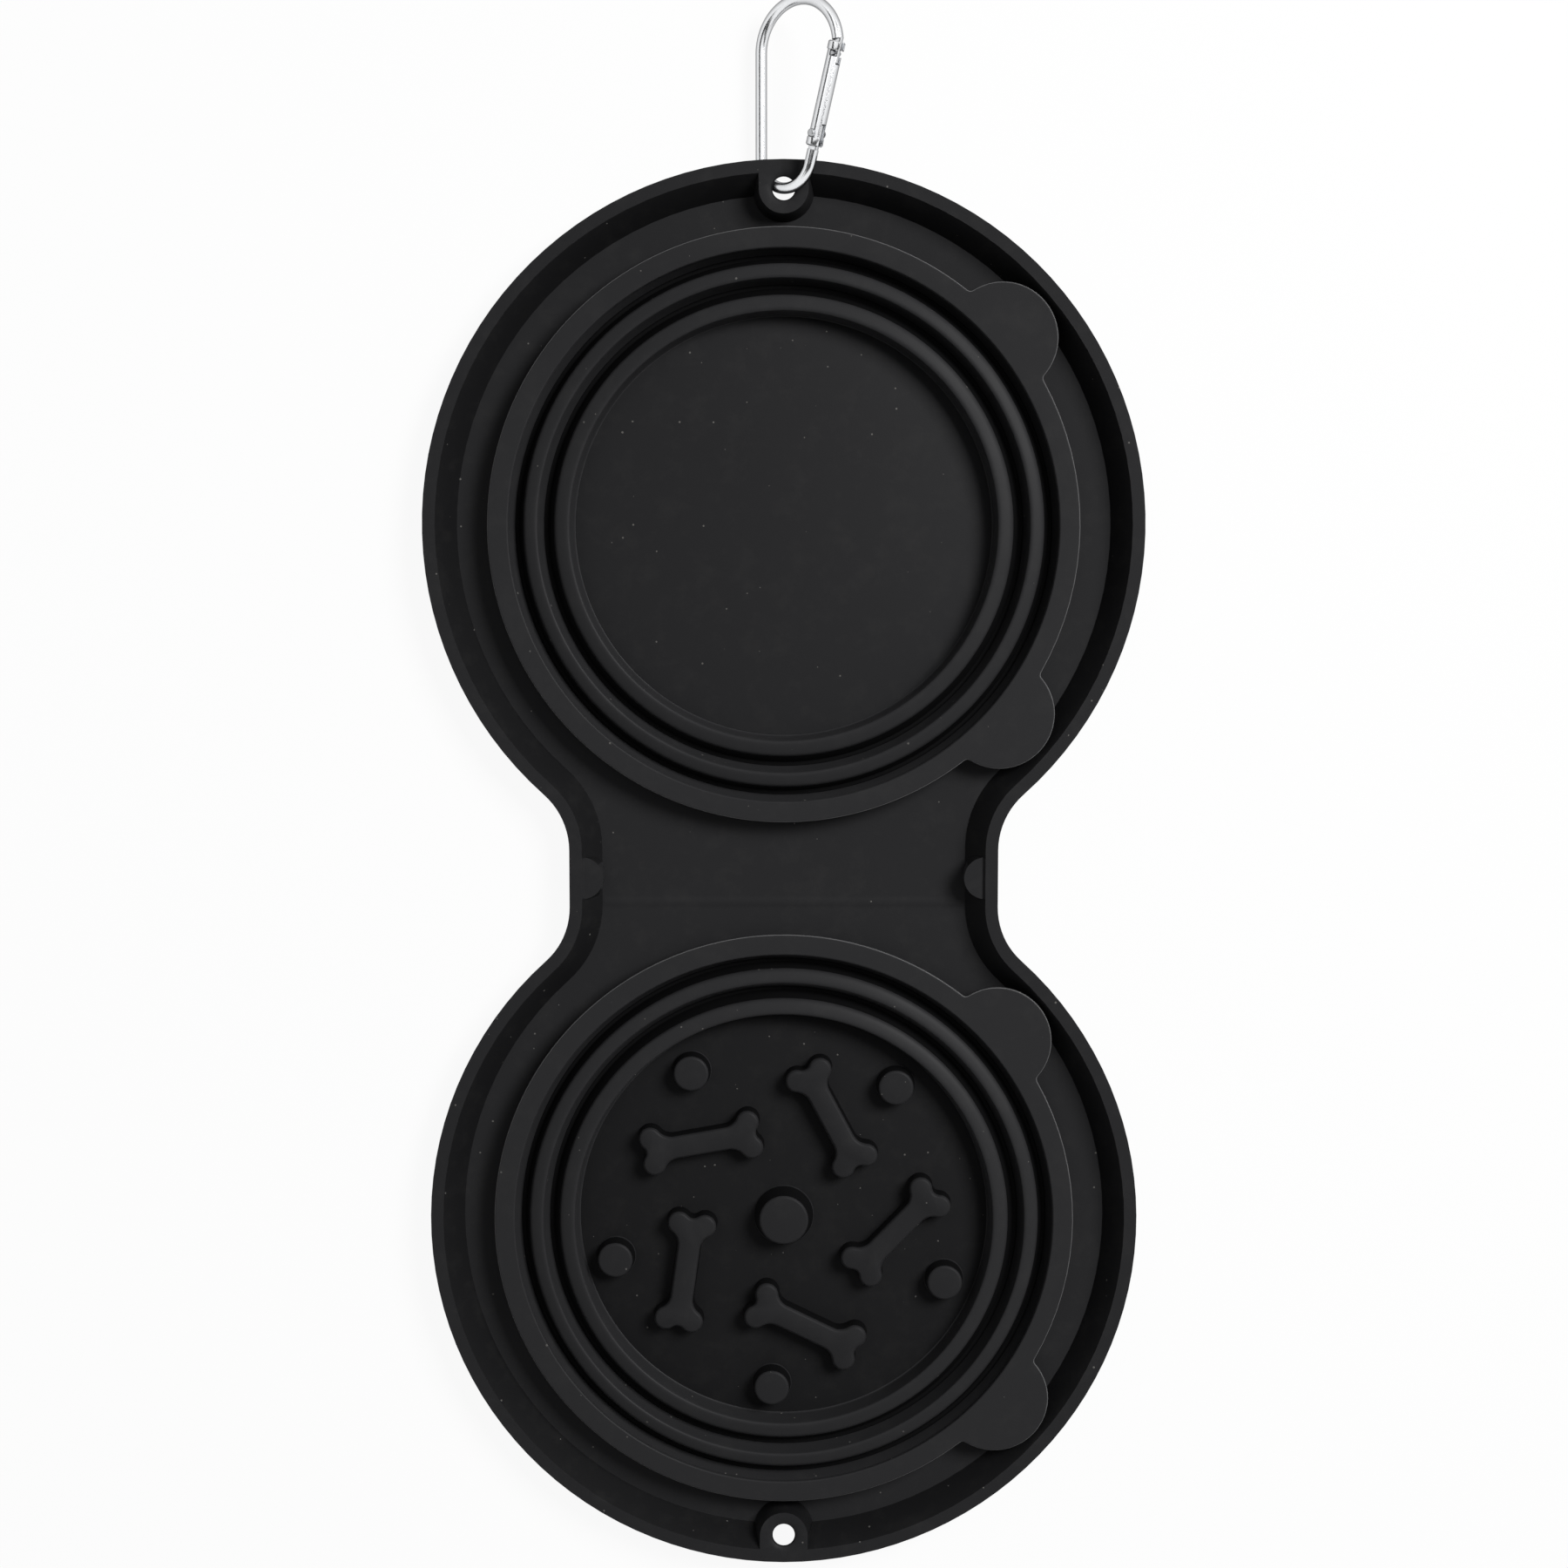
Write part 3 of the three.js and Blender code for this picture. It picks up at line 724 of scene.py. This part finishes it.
def flare_holes(piece, tray, top):
    """Draw the middle of each hanging hole in, so that its mouths flare."""
    edit(piece)
    mouth = tray.hole + tray.hole_flare
    for side in (1, -1):
        centre = Vector((0, side * tray.lug_y))

        def on_mouth(v):
            return abs((v.co.xy - centre).length - mouth) < NEAR

        def upright(e):
            tall = abs(e.verts[0].co.z - e.verts[1].co.z) > tray.sheet / 4
            return tall and all(on_mouth(v) for v in e.verts)

        select_where(piece, upright, "edges")
        bpy.ops.mesh.subdivide(number_cuts=3)
        for step in (1, 2, 3):
            z = top - tray.sheet * step / 4
            narrow = tray.hole_flare * (1 - (step / 2 - 1) ** 2)
            select_where(piece, lambda v: abs(v.co.z - z) < SAME and on_mouth(v))
            scale = 1 - narrow / mouth
            bpy.ops.transform.resize(value=(scale, scale, 1), center_override=(*centre, z))
    leave()


def add_pads(piece, tray, top):
    """Raise the half-round pad on each waist wall, its back leaning with the wall."""
    depth, drop = 0.4 * MM, 0.9 * MM  # into the wall, and from the flange's top to the pad's
    for side in (1, -1):
        middle = side * (tray.waist - tray.flange)
        start = Vector((middle + side * depth, -side * tray.pad, tray.sheet - 0.5 * MM))
        pen = Pencil(start, "pad_tool")
        pen.line(start + Vector((-side * depth, 0, 0)))
        pen.arc((middle, 0, start.z), -pi, 24)
        pen.line((middle + side * depth, side * tray.pad, start.z))
        tool = pen.close()
        raise_outline(top - drop - start.z)
        back = abs(middle) - tray.wall_run + depth
        select_where(tool, lambda v: abs(v.co.z - start.z) < SAME and abs(v.co.x) > back)
        bpy.ops.transform.resize(value=(0, 1, 1), center_override=(side * back, 0, start.z))
        close_up()
        cut_with(piece, tool, "UNION")


def cut_folds(piece, tray):
    """Cut the waist across in narrow strips, and raise the two fine fold lines."""
    pitch, count, fold_rise, margin = 0.9 * MM, 17, 0.25 * MM, 0.8 * MM
    edit(piece)
    cuts = [i * pitch for i in range(-count, count + 1)]
    lines = [side * tray.fold_y + i * pitch for side in (1, -1) for i in (-1, 0, 1)]
    edge = tray.waist - tray.flange - tray.wall_run - margin
    planes = [((0, y, 0), (0, 1, 0)) for y in sorted(cuts + lines)]
    for at, across in planes + [((x, 0, 0), (1, 0, 0)) for x in (-edge, edge)]:
        select_all()
        bpy.ops.mesh.bisect(plane_co=at, plane_no=across)

    def on_line(v):
        across = abs(abs(v.co.y) - tray.fold_y) < SAME
        return across and abs(v.co.z - tray.sheet) < NEAR and abs(v.co.x) < edge + NEAR

    select_where(piece, on_line)
    bpy.ops.transform.translate(value=(0, 0, fold_rise))
    leave()


class FEEDER_OT_tray(bpy.types.Operator):
    """Model the tray moulding, with its lugs, fold lines and waist pads, as two halves"""

    bl_idname = "feeder.tray"
    bl_label = "Tray"

    def execute(self, context):
        tray = context.scene.feeder_tray
        top = tray.sheet + tray.depth
        low, high = tray.sheet + 0.5 * MM, top - 0.5 * MM
        piece = tray_skin(tray, top)
        flare_holes(piece, tray, top)
        round_edges(piece, 0.55 * MM, 32, True)
        add_pads(piece, tray, top)
        cut_folds(piece, tray)

        def on_wall(f):
            """Whether a face leans, neither upright nor nearly flat."""
            return 0.03 < f.normal.z < 0.8 and low < f.calc_center_median().z < high

        for side, half, nodes in (
            (1, "water", ("water_tray", "fold_spine", "left_gusset")),
            (-1, "feeder", ("feeder_tray", "right_gusset")),
        ):
            part = copy_of(piece, f"{half}_half_moulding")
            edit(part)
            bpy.ops.mesh.bisect(
                plane_co=(0, 0, 0), plane_no=(0, side, 0), use_fill=True, clear_inner=True
            )
            close_up()
            smooth(part, 35)
            even_shading(part)
            finish(part, "tray")
            # Painted shade: the leaning wall faces get the darker wall colour
            shade_where(part, on_wall, "wall")
            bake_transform(part)
            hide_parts(*nodes)
        remove(piece)
        return {"FINISHED"}


# Bowls


def halves(tray):
    """Each half's name, and how far its bowl is from the water bowl."""
    return ("water", 0), ("feeder", -2 * tray.bowl_y)


def floor_profile(bowl, tray):
    """The bowl's own floor, a hair above the tray's."""
    top, under = tray.sheet + 0.12 * MM, tray.sheet - 0.5 * MM
    edge = bowl.floor - 0.25 * MM
    return [(0, under), (edge, under), (edge, top - 0.05 * MM), (edge - 0.2 * MM, top), (0, top)]


def inner_profile(bowl, tray):
    """The fixed wall, rounded into the floor and over the lower ridge."""
    ridge = bowl.floor + bowl.wall_run + bowl.wall
    inner = bowl.floor + bowl.wall_run - bowl.crest
    cap = ridge_cap(ridge + bowl.wall, inner, bowl.cap_z, bowl.wall)
    start, under, corner = bowl.floor - 0.4 * MM, tray.sheet - 0.6 * MM, 0.6 * MM
    foot = half_round(start, tray.sheet + corner, corner, -0.1, -pi / 2, 5)
    return [(bowl.floor + bowl.wall, under), (ridge, bowl.cap_z), *cap, *foot, (start, under)]


def web_profile(bowl, ridge_out, groove):
    """The thin cone from inside the ridge down into the valley."""
    run, rows, lap = (groove - bowl.groove_foot) / 2, 12, 0.02 * MM
    tall = bowl.cap_z - bowl.valley_top
    shares = [i / rows for i in range(-1, rows + 2)]
    face = [(ridge_out + run * t - lap, bowl.cap_z - tall * t) for t in shares]
    return face + [(r - bowl.web, z) for r, z in reversed(face)]


def grooved(bowl, start, inner, groove, upper):
    """A groove's floor, rounded up into the firm wall that ends in the upper points."""
    foot, corner = inner - (groove - bowl.groove_foot) / 2, 0.55 * MM
    curve = half_round(foot - 0.5 * MM, bowl.valley_top + corner, corner, -0.35, -pi / 2, 5)
    start += PLAY
    return [(start, bowl.valley_under), (foot + bowl.wall, bowl.valley_under),
            (foot + bowl.wall, bowl.valley_top), *upper, *curve, (start, bowl.valley_top)]


def ring_profile(bowl, lower_out, upper_in):
    """The groove floor, the firm wall and the upper ridge."""
    ridge = upper_in + bowl.wall
    cap = ridge_cap(ridge + bowl.wall, upper_in - 0.6 * bowl.crest, bowl.cap_z, bowl.wall)
    return grooved(bowl, lower_out, upper_in, bowl.lower_groove, [(ridge, bowl.cap_z), *cap])


def rim_profile(bowl, inner):
    """The upper wall, from the outer groove's floor into the rim's underside."""
    top = bowl.rim_top - bowl.rim_thickness + BURY
    upper = [(inner + bowl.wall, top), (inner + 0.3 * MM, top)]
    return grooved(bowl, inner - bowl.upper_groove, inner, bowl.upper_groove, upper)


class FEEDER_OT_folds(bpy.types.Operator):
    """Model both collapsed bowls: floor, inner wall, two flipping cones and the firm ring"""

    bl_idname = "feeder.folds"
    bl_label = "Bowl folds"

    def execute(self, context):
        bowl, tray = context.scene.feeder_bowl, context.scene.feeder_tray
        lower_out = bowl.floor + bowl.wall_run + 2 * bowl.wall
        upper_in = lower_out + bowl.lower_groove
        upper_out = upper_in + 2 * bowl.wall
        pieces = [
            (turned(label, profile, bowl.facets, (0, tray.bowl_y)), label, node)
            for label, node, profile in (
                ("bowl_floor", "bowl_base", floor_profile(bowl, tray)),
                ("inner_wall", "bowl_base", inner_profile(bowl, tray)),
                ("lower_fold", "lower_web", web_profile(bowl, lower_out, bowl.lower_groove)),
                ("fold_ring", "middle_ring", ring_profile(bowl, lower_out, upper_in)),
                ("upper_fold", "upper_web", web_profile(bowl, upper_out, bowl.upper_groove)),
            )
        ]
        for half, move in halves(tray):
            home, y = f"{half}_half", tray.bowl_y + move
            for source, label, node in pieces:
                part = smooth(copy_of(source, f"{half}_{label}", (0, move, 0)), 50)
                # Rims and ridges take the paler bowl colour, which is painted light
                finish(part, f"{half}_floor" if label == "bowl_floor" else "bowl")
                if node != "bowl_base":
                    # Painted shade: fold faces below the ridges get the near-black groove colour
                    shade_below(part, bowl.cap_z + 0.05 * MM, "groove")
                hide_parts(f"{half}_{node}")
                if label == "lower_fold":
                    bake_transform(part)
                elif label == "upper_fold":
                    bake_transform(part)
                else:
                    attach(part, f"{half}_ring" if label == "fold_ring" else home)
        remove(*(source for source, _, _ in pieces))
        return {"FINISHED"}


def rim_plate(bowl, inner, centre):
    """The rim plate, its outer edge drawn round both tabs and rounded."""
    outer = inner + bowl.rim
    corner = outer + bowl.tab_fillet
    reach = bowl.tab_radius + bowl.tab_fillet
    spread = acos((corner**2 + bowl.tab_circle**2 - reach**2) / (2 * corner * bowl.tab_circle))
    between = 2 * bowl.tab_angle - 2 * spread
    z = bowl.rim_top - bowl.rim_thickness
    middle = (*centre, z)

    def at(radius, angle):
        x, y = radius * cos(angle), radius * sin(angle)
        return Vector((centre[0] + x, centre[1] + y, z))

    pen = Pencil(at(outer, -bowl.tab_angle - spread), "rim_plate")
    for angle, onward, steps in (
        (-bowl.tab_angle, between, 16),
        (bowl.tab_angle, 2 * pi - between - 4 * spread, 116),
    ):
        tab = at(bowl.tab_circle, angle)
        enter, leave_at = at(corner, angle - spread), at(corner, angle + spread)
        into, out = enter - tab, leave_at - tab
        sweep = (atan2(out.y, out.x) - atan2(into.y, into.x)) % (2 * pi)
        bend = (sweep - 2 * spread) / 2
        pen.arc(enter, -bend, 4)
        pen.arc(tab, sweep, 36)
        pen.arc(leave_at, -bend, 4)
        pen.arc(middle, onward, steps)
    plate = pen.close()
    select_all("DESELECT")
    Pencil(at(inner, 0)).arc(middle, 2 * pi, bowl.facets).close()
    select_all()
    bpy.ops.mesh.fill()
    select_all()
    extrude((0, 0, bowl.rim_thickness))
    close_up()
    round_edges(plate, 0.5 * MM, 40, False)
    return plate


class FEEDER_OT_rims(bpy.types.Operator):
    """Model the flat rims with their pull tabs"""

    bl_idname = "feeder.rims"
    bl_label = "Rims"

    def execute(self, context):
        bowl, tray = context.scene.feeder_bowl, context.scene.feeder_tray
        inner = bowl.floor + bowl.wall_run + 4 * bowl.wall + bowl.lower_groove + bowl.upper_groove
        centre = (0, tray.bowl_y)
        wall = turned("rim_wall", rim_profile(bowl, inner), bowl.facets, centre)
        rim = joined([rim_plate(bowl, inner, centre), wall])
        for half, move in halves(tray):
            middle = Vector((0, tray.bowl_y + move))

            def on_edge(f):
                """Whether a face of the rounded outer edge gets dust and a painted highlight."""
                at = f.calc_center_median()
                outward = f.normal.xy.dot(at.xy - middle) > 0
                return outward and 0.4 < f.normal.z < 0.9 and at.z > bowl.rim_top - 0.5 * MM

            part = smooth(copy_of(rim, f"{half}_rim_with_tabs", (0, move, 0)), 40)
            even_shading(part)
            # The rim takes the paler bowl colour, which is painted light
            finish(part, "bowl")
            # Painted shade: the wall under the rim gets the near-black groove colour
            shade_below(part, bowl.rim_top - bowl.rim_thickness, "groove")
            # Dust and a painted highlight on the rounded outer edge
            shade_where(part, on_edge, "edge")
            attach(part, f"{half}_rim")
            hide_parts(f"{half}_rim")
        remove(rim)
        return {"FINISHED"}


def make_bone(pattern, tray):
    """A bone along X, drawn knob by knob with hollow necks and raised off the floor."""
    knob, neck, notch = pattern.bone_knob, pattern.bone_neck, pattern.bone_notch
    along, aside = pattern.bone_length / 2 - knob, pattern.bone_end / 2 - knob
    shaft, z = pattern.bone_shaft / 2, tray.sheet - BURY
    neck_y = shaft + neck
    neck_run = sqrt((knob + neck) ** 2 - (neck_y - aside) ** 2)
    notch_run = sqrt((knob + notch) ** 2 - aside**2)
    neck_turn = atan2(neck_run, neck_y - aside)
    notch_turn = 2 * atan2(aside, notch_run)
    sweep = pi / 2 + neck_turn + notch_turn / 2
    pen = Pencil((along - neck_run, shaft, z), "bone")
    for side in (1, -1):
        end, inner = side * along, side * (along - neck_run)
        pen.arc((inner, side * neck_y, z), neck_turn, 8)
        pen.arc((end, side * aside, z), -sweep, 16)
        pen.arc((end + side * notch_run, 0, z), notch_turn, 8)
        pen.arc((end, -side * aside, z), -sweep, 16)
        pen.arc((inner, -side * neck_y, z), neck_turn, 8)
        pen.line((-inner, -side * shaft, z))
    piece = pen.close()
    plinth = 0.5 * MM  # the straight foot, most of it in the floor
    raise_outline(plinth)
    select_all()
    bpy.ops.mesh.normals_make_consistent(inside=False)
    top = z + plinth
    select_where(piece, lambda f: all(abs(v.co.z - top) < SAME for v in f.verts), "faces")
    rise = pattern.height - pattern.round - 0.1 * MM
    bpy.ops.mesh.inset(thickness=pattern.bone_draft, depth=rise)
    for inward, up in ((0.3, 0.55), (0.3, 0.3), (0.4, 0.15)):
        bpy.ops.mesh.inset(thickness=inward * pattern.round, depth=up * pattern.round)
    close_up()
    return piece


def make_stud(name, radius, draft, height, pattern, tray):
    """A round stud with a leaning side, a rounded edge and a small fillet at its foot."""
    floor, top, corner = tray.sheet, tray.sheet + height, pattern.round
    edge = half_round(radius - draft - corner, top - corner, corner, 0.1, pi / 2, 6)
    under = floor - BURY
    foot = [(radius + 0.4 * MM, under), (radius + 0.25 * MM, floor + 0.1 * MM),
            (radius, floor + 0.4 * MM)]
    return turned(name, [(0, under), *foot, *edge, (0, top)], 48)


class FEEDER_OT_pattern(bpy.types.Operator):
    """Model the bones and studs on the slow feeder's floor"""

    bl_idname = "feeder.pattern"
    bl_label = "Bones and studs"

    def execute(self, context):
        pattern, tray = context.scene.feeder_pattern, context.scene.feeder_tray
        middle = Vector((0, -tray.bowl_y, 0))
        bone = make_bone(pattern, tray)
        stud = make_stud("stud", pattern.stud, pattern.stud_draft, pattern.height, pattern, tray)
        centre = make_stud(
            "centre", pattern.centre, pattern.centre_draft, pattern.centre_height, pattern, tray
        )

        def place(source, name, radius, angle, turn):
            out = Vector((radius * cos(angle), radius * sin(angle), 0))
            return settle(copy_of(source, name), middle + out, (0, 0, angle + turn))

        made = [place(centre, "feeder_centre_stud", 0, 0, 0)]
        for i in range(pattern.count):
            step = 2 * pi * i / pattern.count
            for label, source, radius, start, turn in (
                ("bone", bone, pattern.bone_circle, pattern.bone_start, pattern.bone_turn),
                ("stud", stud, pattern.stud_circle, pattern.stud_start, 0),
            ):
                name = f"feeder_{label}_{i + 1}"
                made.append(place(source, name, radius, start + step, turn))
        remove(bone, stud, centre)
        for part in made:
            smooth(part, 35)
            finish(part, "pattern")
            # Painted shade: the steep sides of bones and studs get the near-black groove colour
            shade_where(part, lambda f: abs(f.normal.z) < STEEP, "groove")
            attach(part, "feeder_half")
        return {"FINISHED"}


# Carabiner


def cube(size, centre):
    """A block of a size round a centre."""
    deselect()
    bpy.ops.mesh.primitive_cube_add(size=1)
    part = bpy.context.object
    part.scale = size
    return settle(part, centre)


def block(low, high):
    """A cutting block between two corners."""
    return cube([b - a for a, b in zip(low, high)], [(a + b) / 2 for a, b in zip(low, high)])


def tongue(loop, x, y, width, tall):
    """A flat tongue with rounded edges, from a height along the gate's line upwards."""
    part = cube((width, tall, loop.tongue), (x, y + tall / 2, 0))
    modify(part, "BEVEL", width=0.18 * MM, segments=2)
    return part


def make_rod(loop, bend_x, bend_end, pivot, along):
    """A circle swept by spins and extrudes round the loop, with a flat tongue at each end."""
    tail, reach, leg_steps = loop.tail + TAIL_GAP, loop.reach + NOSE_GAP, 6
    nose = pivot + along * reach
    arch = (nose.x + loop.leg) / (1 + cos(loop.arch_end))
    arch_y = nose.y - arch * sin(loop.arch_end)
    deselect()
    bpy.ops.mesh.primitive_circle_add(vertices=28, radius=loop.rod)
    piece = settle(added("carabiner_rod"), nose, (pi / 2, 0, loop.arch_end))
    edit(piece)
    spin(44, -(pi - loop.arch_end), (arch - loop.leg, arch_y, 0))
    for _ in range(leg_steps):
        extrude((0, (loop.bend - arch_y) / leg_steps, 0))
    spin(40, -(pi - loop.lean), (bend_x, loop.bend, 0))
    extrude(pivot - along * tail - bend_end)
    select_all()
    bpy.ops.mesh.remove_doubles(threshold=MERGE)
    bpy.ops.mesh.fill_holes(sides=0)
    close_up()
    root = tail + loop.rod
    for part in (
        tongue(loop, 0, -root, 2.7 * MM, 2.3 * MM + root),
        tongue(loop, 0.5 * MM, reach - 6 * MM, 1.8 * MM, 6.75 * MM),
    ):
        cut_with(piece, settle(part, pivot, (0, 0, -loop.lean)), "UNION")
    return piece


def make_gate(loop, pivot):
    """The gate bar with a collar at each end, slotted for the two tongues."""
    wide, chamfer = loop.gate + loop.collar, 0.3
    profile = []
    for y, inward in ((-loop.tail, 1), (loop.reach, -1)):
        collar = [(0, y), (wide - chamfer * MM, y), (wide, y + chamfer * inward * MM),
                  (wide, y + inward * loop.collar_length),
                  (loop.gate, y + inward * (loop.collar_length + chamfer * MM))]
        profile += collar[::inward]
    part = settle(turned("carabiner_gate_bar", profile, 36), turn=(-pi / 2, 0, 0))
    slot, far = loop.tongue / 2 + PLAY, 3 * loop.gate
    nose = loop.reach + NOSE_GAP
    latch, notch = nose - 3.6 * MM, 0.8 * MM
    for low, high in (
        ((-far, -far, -slot), (far, 2.6 * MM, slot)),
        ((-0.7 * MM, nose - 6.3 * MM, -slot), (far, 2 * nose, slot)),
        ((-0.15 * MM, latch - notch, -far), (far, latch + notch, far)),
    ):
        cut_with(part, block(low, high))
    modify(part, "BEVEL", width=0.12 * MM, segments=2, limit_method="ANGLE")
    return settle(part, pivot, (0, 0, -loop.lean))


def make_rivet(loop, pivot):
    """A domed rivet through the gate."""
    shank, dome = loop.gate + PLAY, 0.55 * MM
    head = half_round(dome, shank, dome, 0, pi / 2, 5)
    upper = [(0.5 * MM, shank), (1.1 * MM, shank), *head[1:], (0, shank + dome)]
    lower = [(r, -z) for r, z in reversed(upper)]
    part = turned("gate_rivet", lower + upper, 28)
    return settle(part, pivot, (0, 0, -loop.lean))


class FEEDER_OT_carabiner(bpy.types.Operator):
    """Model the carabiner's bent rod, gate and rivet, and finish its latch pin and spring"""

    bl_idname = "feeder.carabiner"
    bl_label = "Carabiner"

    def execute(self, context):
        loop, tray = context.scene.feeder_carabiner, context.scene.feeder_tray
        c, s = cos(loop.lean), sin(loop.lean)
        along = Vector((s, c, 0))
        bend_x = loop.bend - loop.leg
        bend_end = Vector((bend_x + loop.bend * c, loop.bend - loop.bend * s, 0))
        pivot = bend_end + along * loop.stub
        rod = make_rod(loop, bend_x, bend_end, pivot, along)
        for part, node, body, look, slot in (
            (rod, "carabiner_body", "carabiner", "aluminium", "polished_aluminium"),
            (make_gate(loop, pivot), "carabiner_gate", "gate", "aluminium", "polished_aluminium"),
            (make_rivet(loop, pivot), "gate_pivot_pin", "gate", "steel", "steel"),
        ):
            settle(part, (0, tray.lug_y, loop.centre_z), (0, -loop.tilt, 0))
            smooth(part, 35)
            finish(part, look)
            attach(part, body)
            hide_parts(node)
        for node in ("gate_latch_pin", "gate_spring"):
            finish(frame["nodes"][node], "steel")
        return {"FINISHED"}


# Stage


def seen(tree):
    """One where the camera, a reflection or a look through glass meets the backdrop."""
    path = add(tree, "LightPath")
    both = maths(tree, "MAXIMUM", (path, "Is Camera Ray"), (path, "Is Glossy Ray"))
    return maths(tree, "MAXIMUM", both, (path, "Is Transmission Ray"))


def stage_plane(name, at, size, look):
    """A flat stage piece with its material."""
    deselect()
    bpy.ops.mesh.primitive_plane_add(size=1)
    piece = added(name)
    piece.scale = (*size, 1)
    settle(piece, at)
    piece.data.materials.append(look)
    return piece


def studio_floor():
    """A white floor that keeps a soft shadow near the object."""
    made, tree, shader = new_material("Studio floor")
    feed(tree, shader, {
        "Base Color": (0.86, 0.86, 0.86, 1), "Roughness": 0.9, "Specular IOR Level": 0.1
    })
    glow = add(tree, "Emission", {"Strength": 1.0})
    place = add(tree, "TexCoord")
    reach = add(tree, "VectorMath", {0: (place, "Object")}, operation="LENGTH")
    near = remap(tree, (reach, "Value"), 0.4, 1.0, 0.93, 1.0)
    share = maths(tree, "MULTIPLY", seen(tree), near)
    lit = add(tree, "MixShader", {0: share, 1: (shader, "BSDF"), 2: (glow, "Emission")})
    feed(tree, tree.nodes["Material Output"], {"Surface": (lit, "Shader")})
    stage_plane("studio_floor", (0, 0, -0.5 * MM), (60, 60), made)


def studio_world(scene):
    """Even pale light, white where it is seen."""
    world = scene.world = bpy.data.worlds.new("Studio")
    world.use_nodes = True
    tree = world.node_tree
    strength = remap(tree, seen(tree), 0, 1, 0.09, 1.0)
    feed(tree, tree.nodes["Background"], {"Color": (1, 1, 1, 1), "Strength": strength})


def softbox(name, at, aim, size, power):
    """A square lamp turned towards a point."""
    deselect()
    bpy.ops.object.light_add(type="AREA", location=at)
    lamp = added(name)
    lamp.data.shape, lamp.data.size, lamp.data.energy = "SQUARE", size, power
    lamp.rotation_euler = (Vector(aim) - Vector(at)).to_track_quat("-Z", "Y").to_euler()


def flag(name, at, size):
    """A black card that only reflections see, for the dark lines on the polished metal."""
    card = stage_plane(name, at, size, MATERIALS["groove"])
    card.visible_camera = card.visible_diffuse = card.visible_shadow = False


def set_camera(scene):
    """Look down on the tray, leaning towards the water bowl."""
    stage = scene.feeder_stage
    aim = Vector((stage.aim_x, stage.aim_y, 5 * MM))
    away = Vector((0, sin(stage.tilt), cos(stage.tilt))) * stage.distance
    deselect()
    bpy.ops.object.camera_add(location=aim + away, rotation=(-stage.tilt, 0, 0))
    scene.camera = bpy.context.object
    lens = scene.camera.data
    lens.lens, lens.sensor_width, lens.clip_end = stage.lens, 36.0, 100
    lens.dof.use_dof = False


class FEEDER_OT_stage(bpy.types.Operator):
    """Lay the pale floor, hang the soft lights and set the camera"""

    bl_idname = "feeder.stage"
    bl_label = "Stage"

    def execute(self, context):
        scene = context.scene
        scene.view_settings.view_transform = "Standard"
        studio_floor()
        studio_world(scene)
        softbox("key_softbox", (0.95, 0.7, 1.2), (0, 0.02, 0), 0.7, 32.0)
        softbox("fill_softbox", (-0.7, 0.8, 1.2), (0, 0, 0), 1.0, 1.6)
        flag("right_flag", (0.095, 0.235, 0.11), (0.11, 0.16))
        flag("left_flag", (-0.09, 0.235, 0.11), (0.09, 0.16))
        flag("lower_flag", (0, 0.14, 0.135), (0.14, 0.07))
        set_camera(scene)
        return {"FINISHED"}


class FEEDER_PT_panel(bpy.types.Panel):
    """Builds the feeder piece by piece"""

    bl_idname = "FEEDER_PT_panel"
    bl_label = "Slow feeder bowl"
    bl_space_type = "VIEW_3D"
    bl_region_type = "UI"
    bl_category = "Feeder"

    def draw(self, context):
        for operator in OPERATORS:
            self.layout.operator(operator.bl_idname)
        for name in SETTINGS:
            box = self.layout.box()
            group = getattr(context.scene, name)
            for key in type(group).__annotations__:
                box.prop(group, key)


OPERATORS = (
    FEEDER_OT_tray, FEEDER_OT_folds, FEEDER_OT_rims, FEEDER_OT_pattern, FEEDER_OT_carabiner,
    FEEDER_OT_stage,
)
SETTINGS = {
    "feeder_tray": TraySizes,
    "feeder_bowl": BowlSizes,
    "feeder_pattern": FeederSizes,
    "feeder_carabiner": CarabinerSizes,
    "feeder_finishes": Finishes,
    "feeder_stage": StageSizes,
}
CLASSES = (*SETTINGS.values(), *OPERATORS, FEEDER_PT_panel)


def register():
    for cls in CLASSES:
        bpy.utils.register_class(cls)
    for name, group in SETTINGS.items():
        setattr(bpy.types.Scene, name, PointerProperty(type=group))


def unregister():
    for name in SETTINGS:
        delattr(bpy.types.Scene, name)
    for cls in reversed(CLASSES):
        bpy.utils.unregister_class(cls)


def main():
    """Build the object and its stage."""
    register()
    MATERIALS.update(make_materials())
    for operator in OPERATORS:
        getattr(bpy.ops.feeder, operator.bl_idname.removeprefix("feeder."))()


if __name__ == "__main__":
    main()
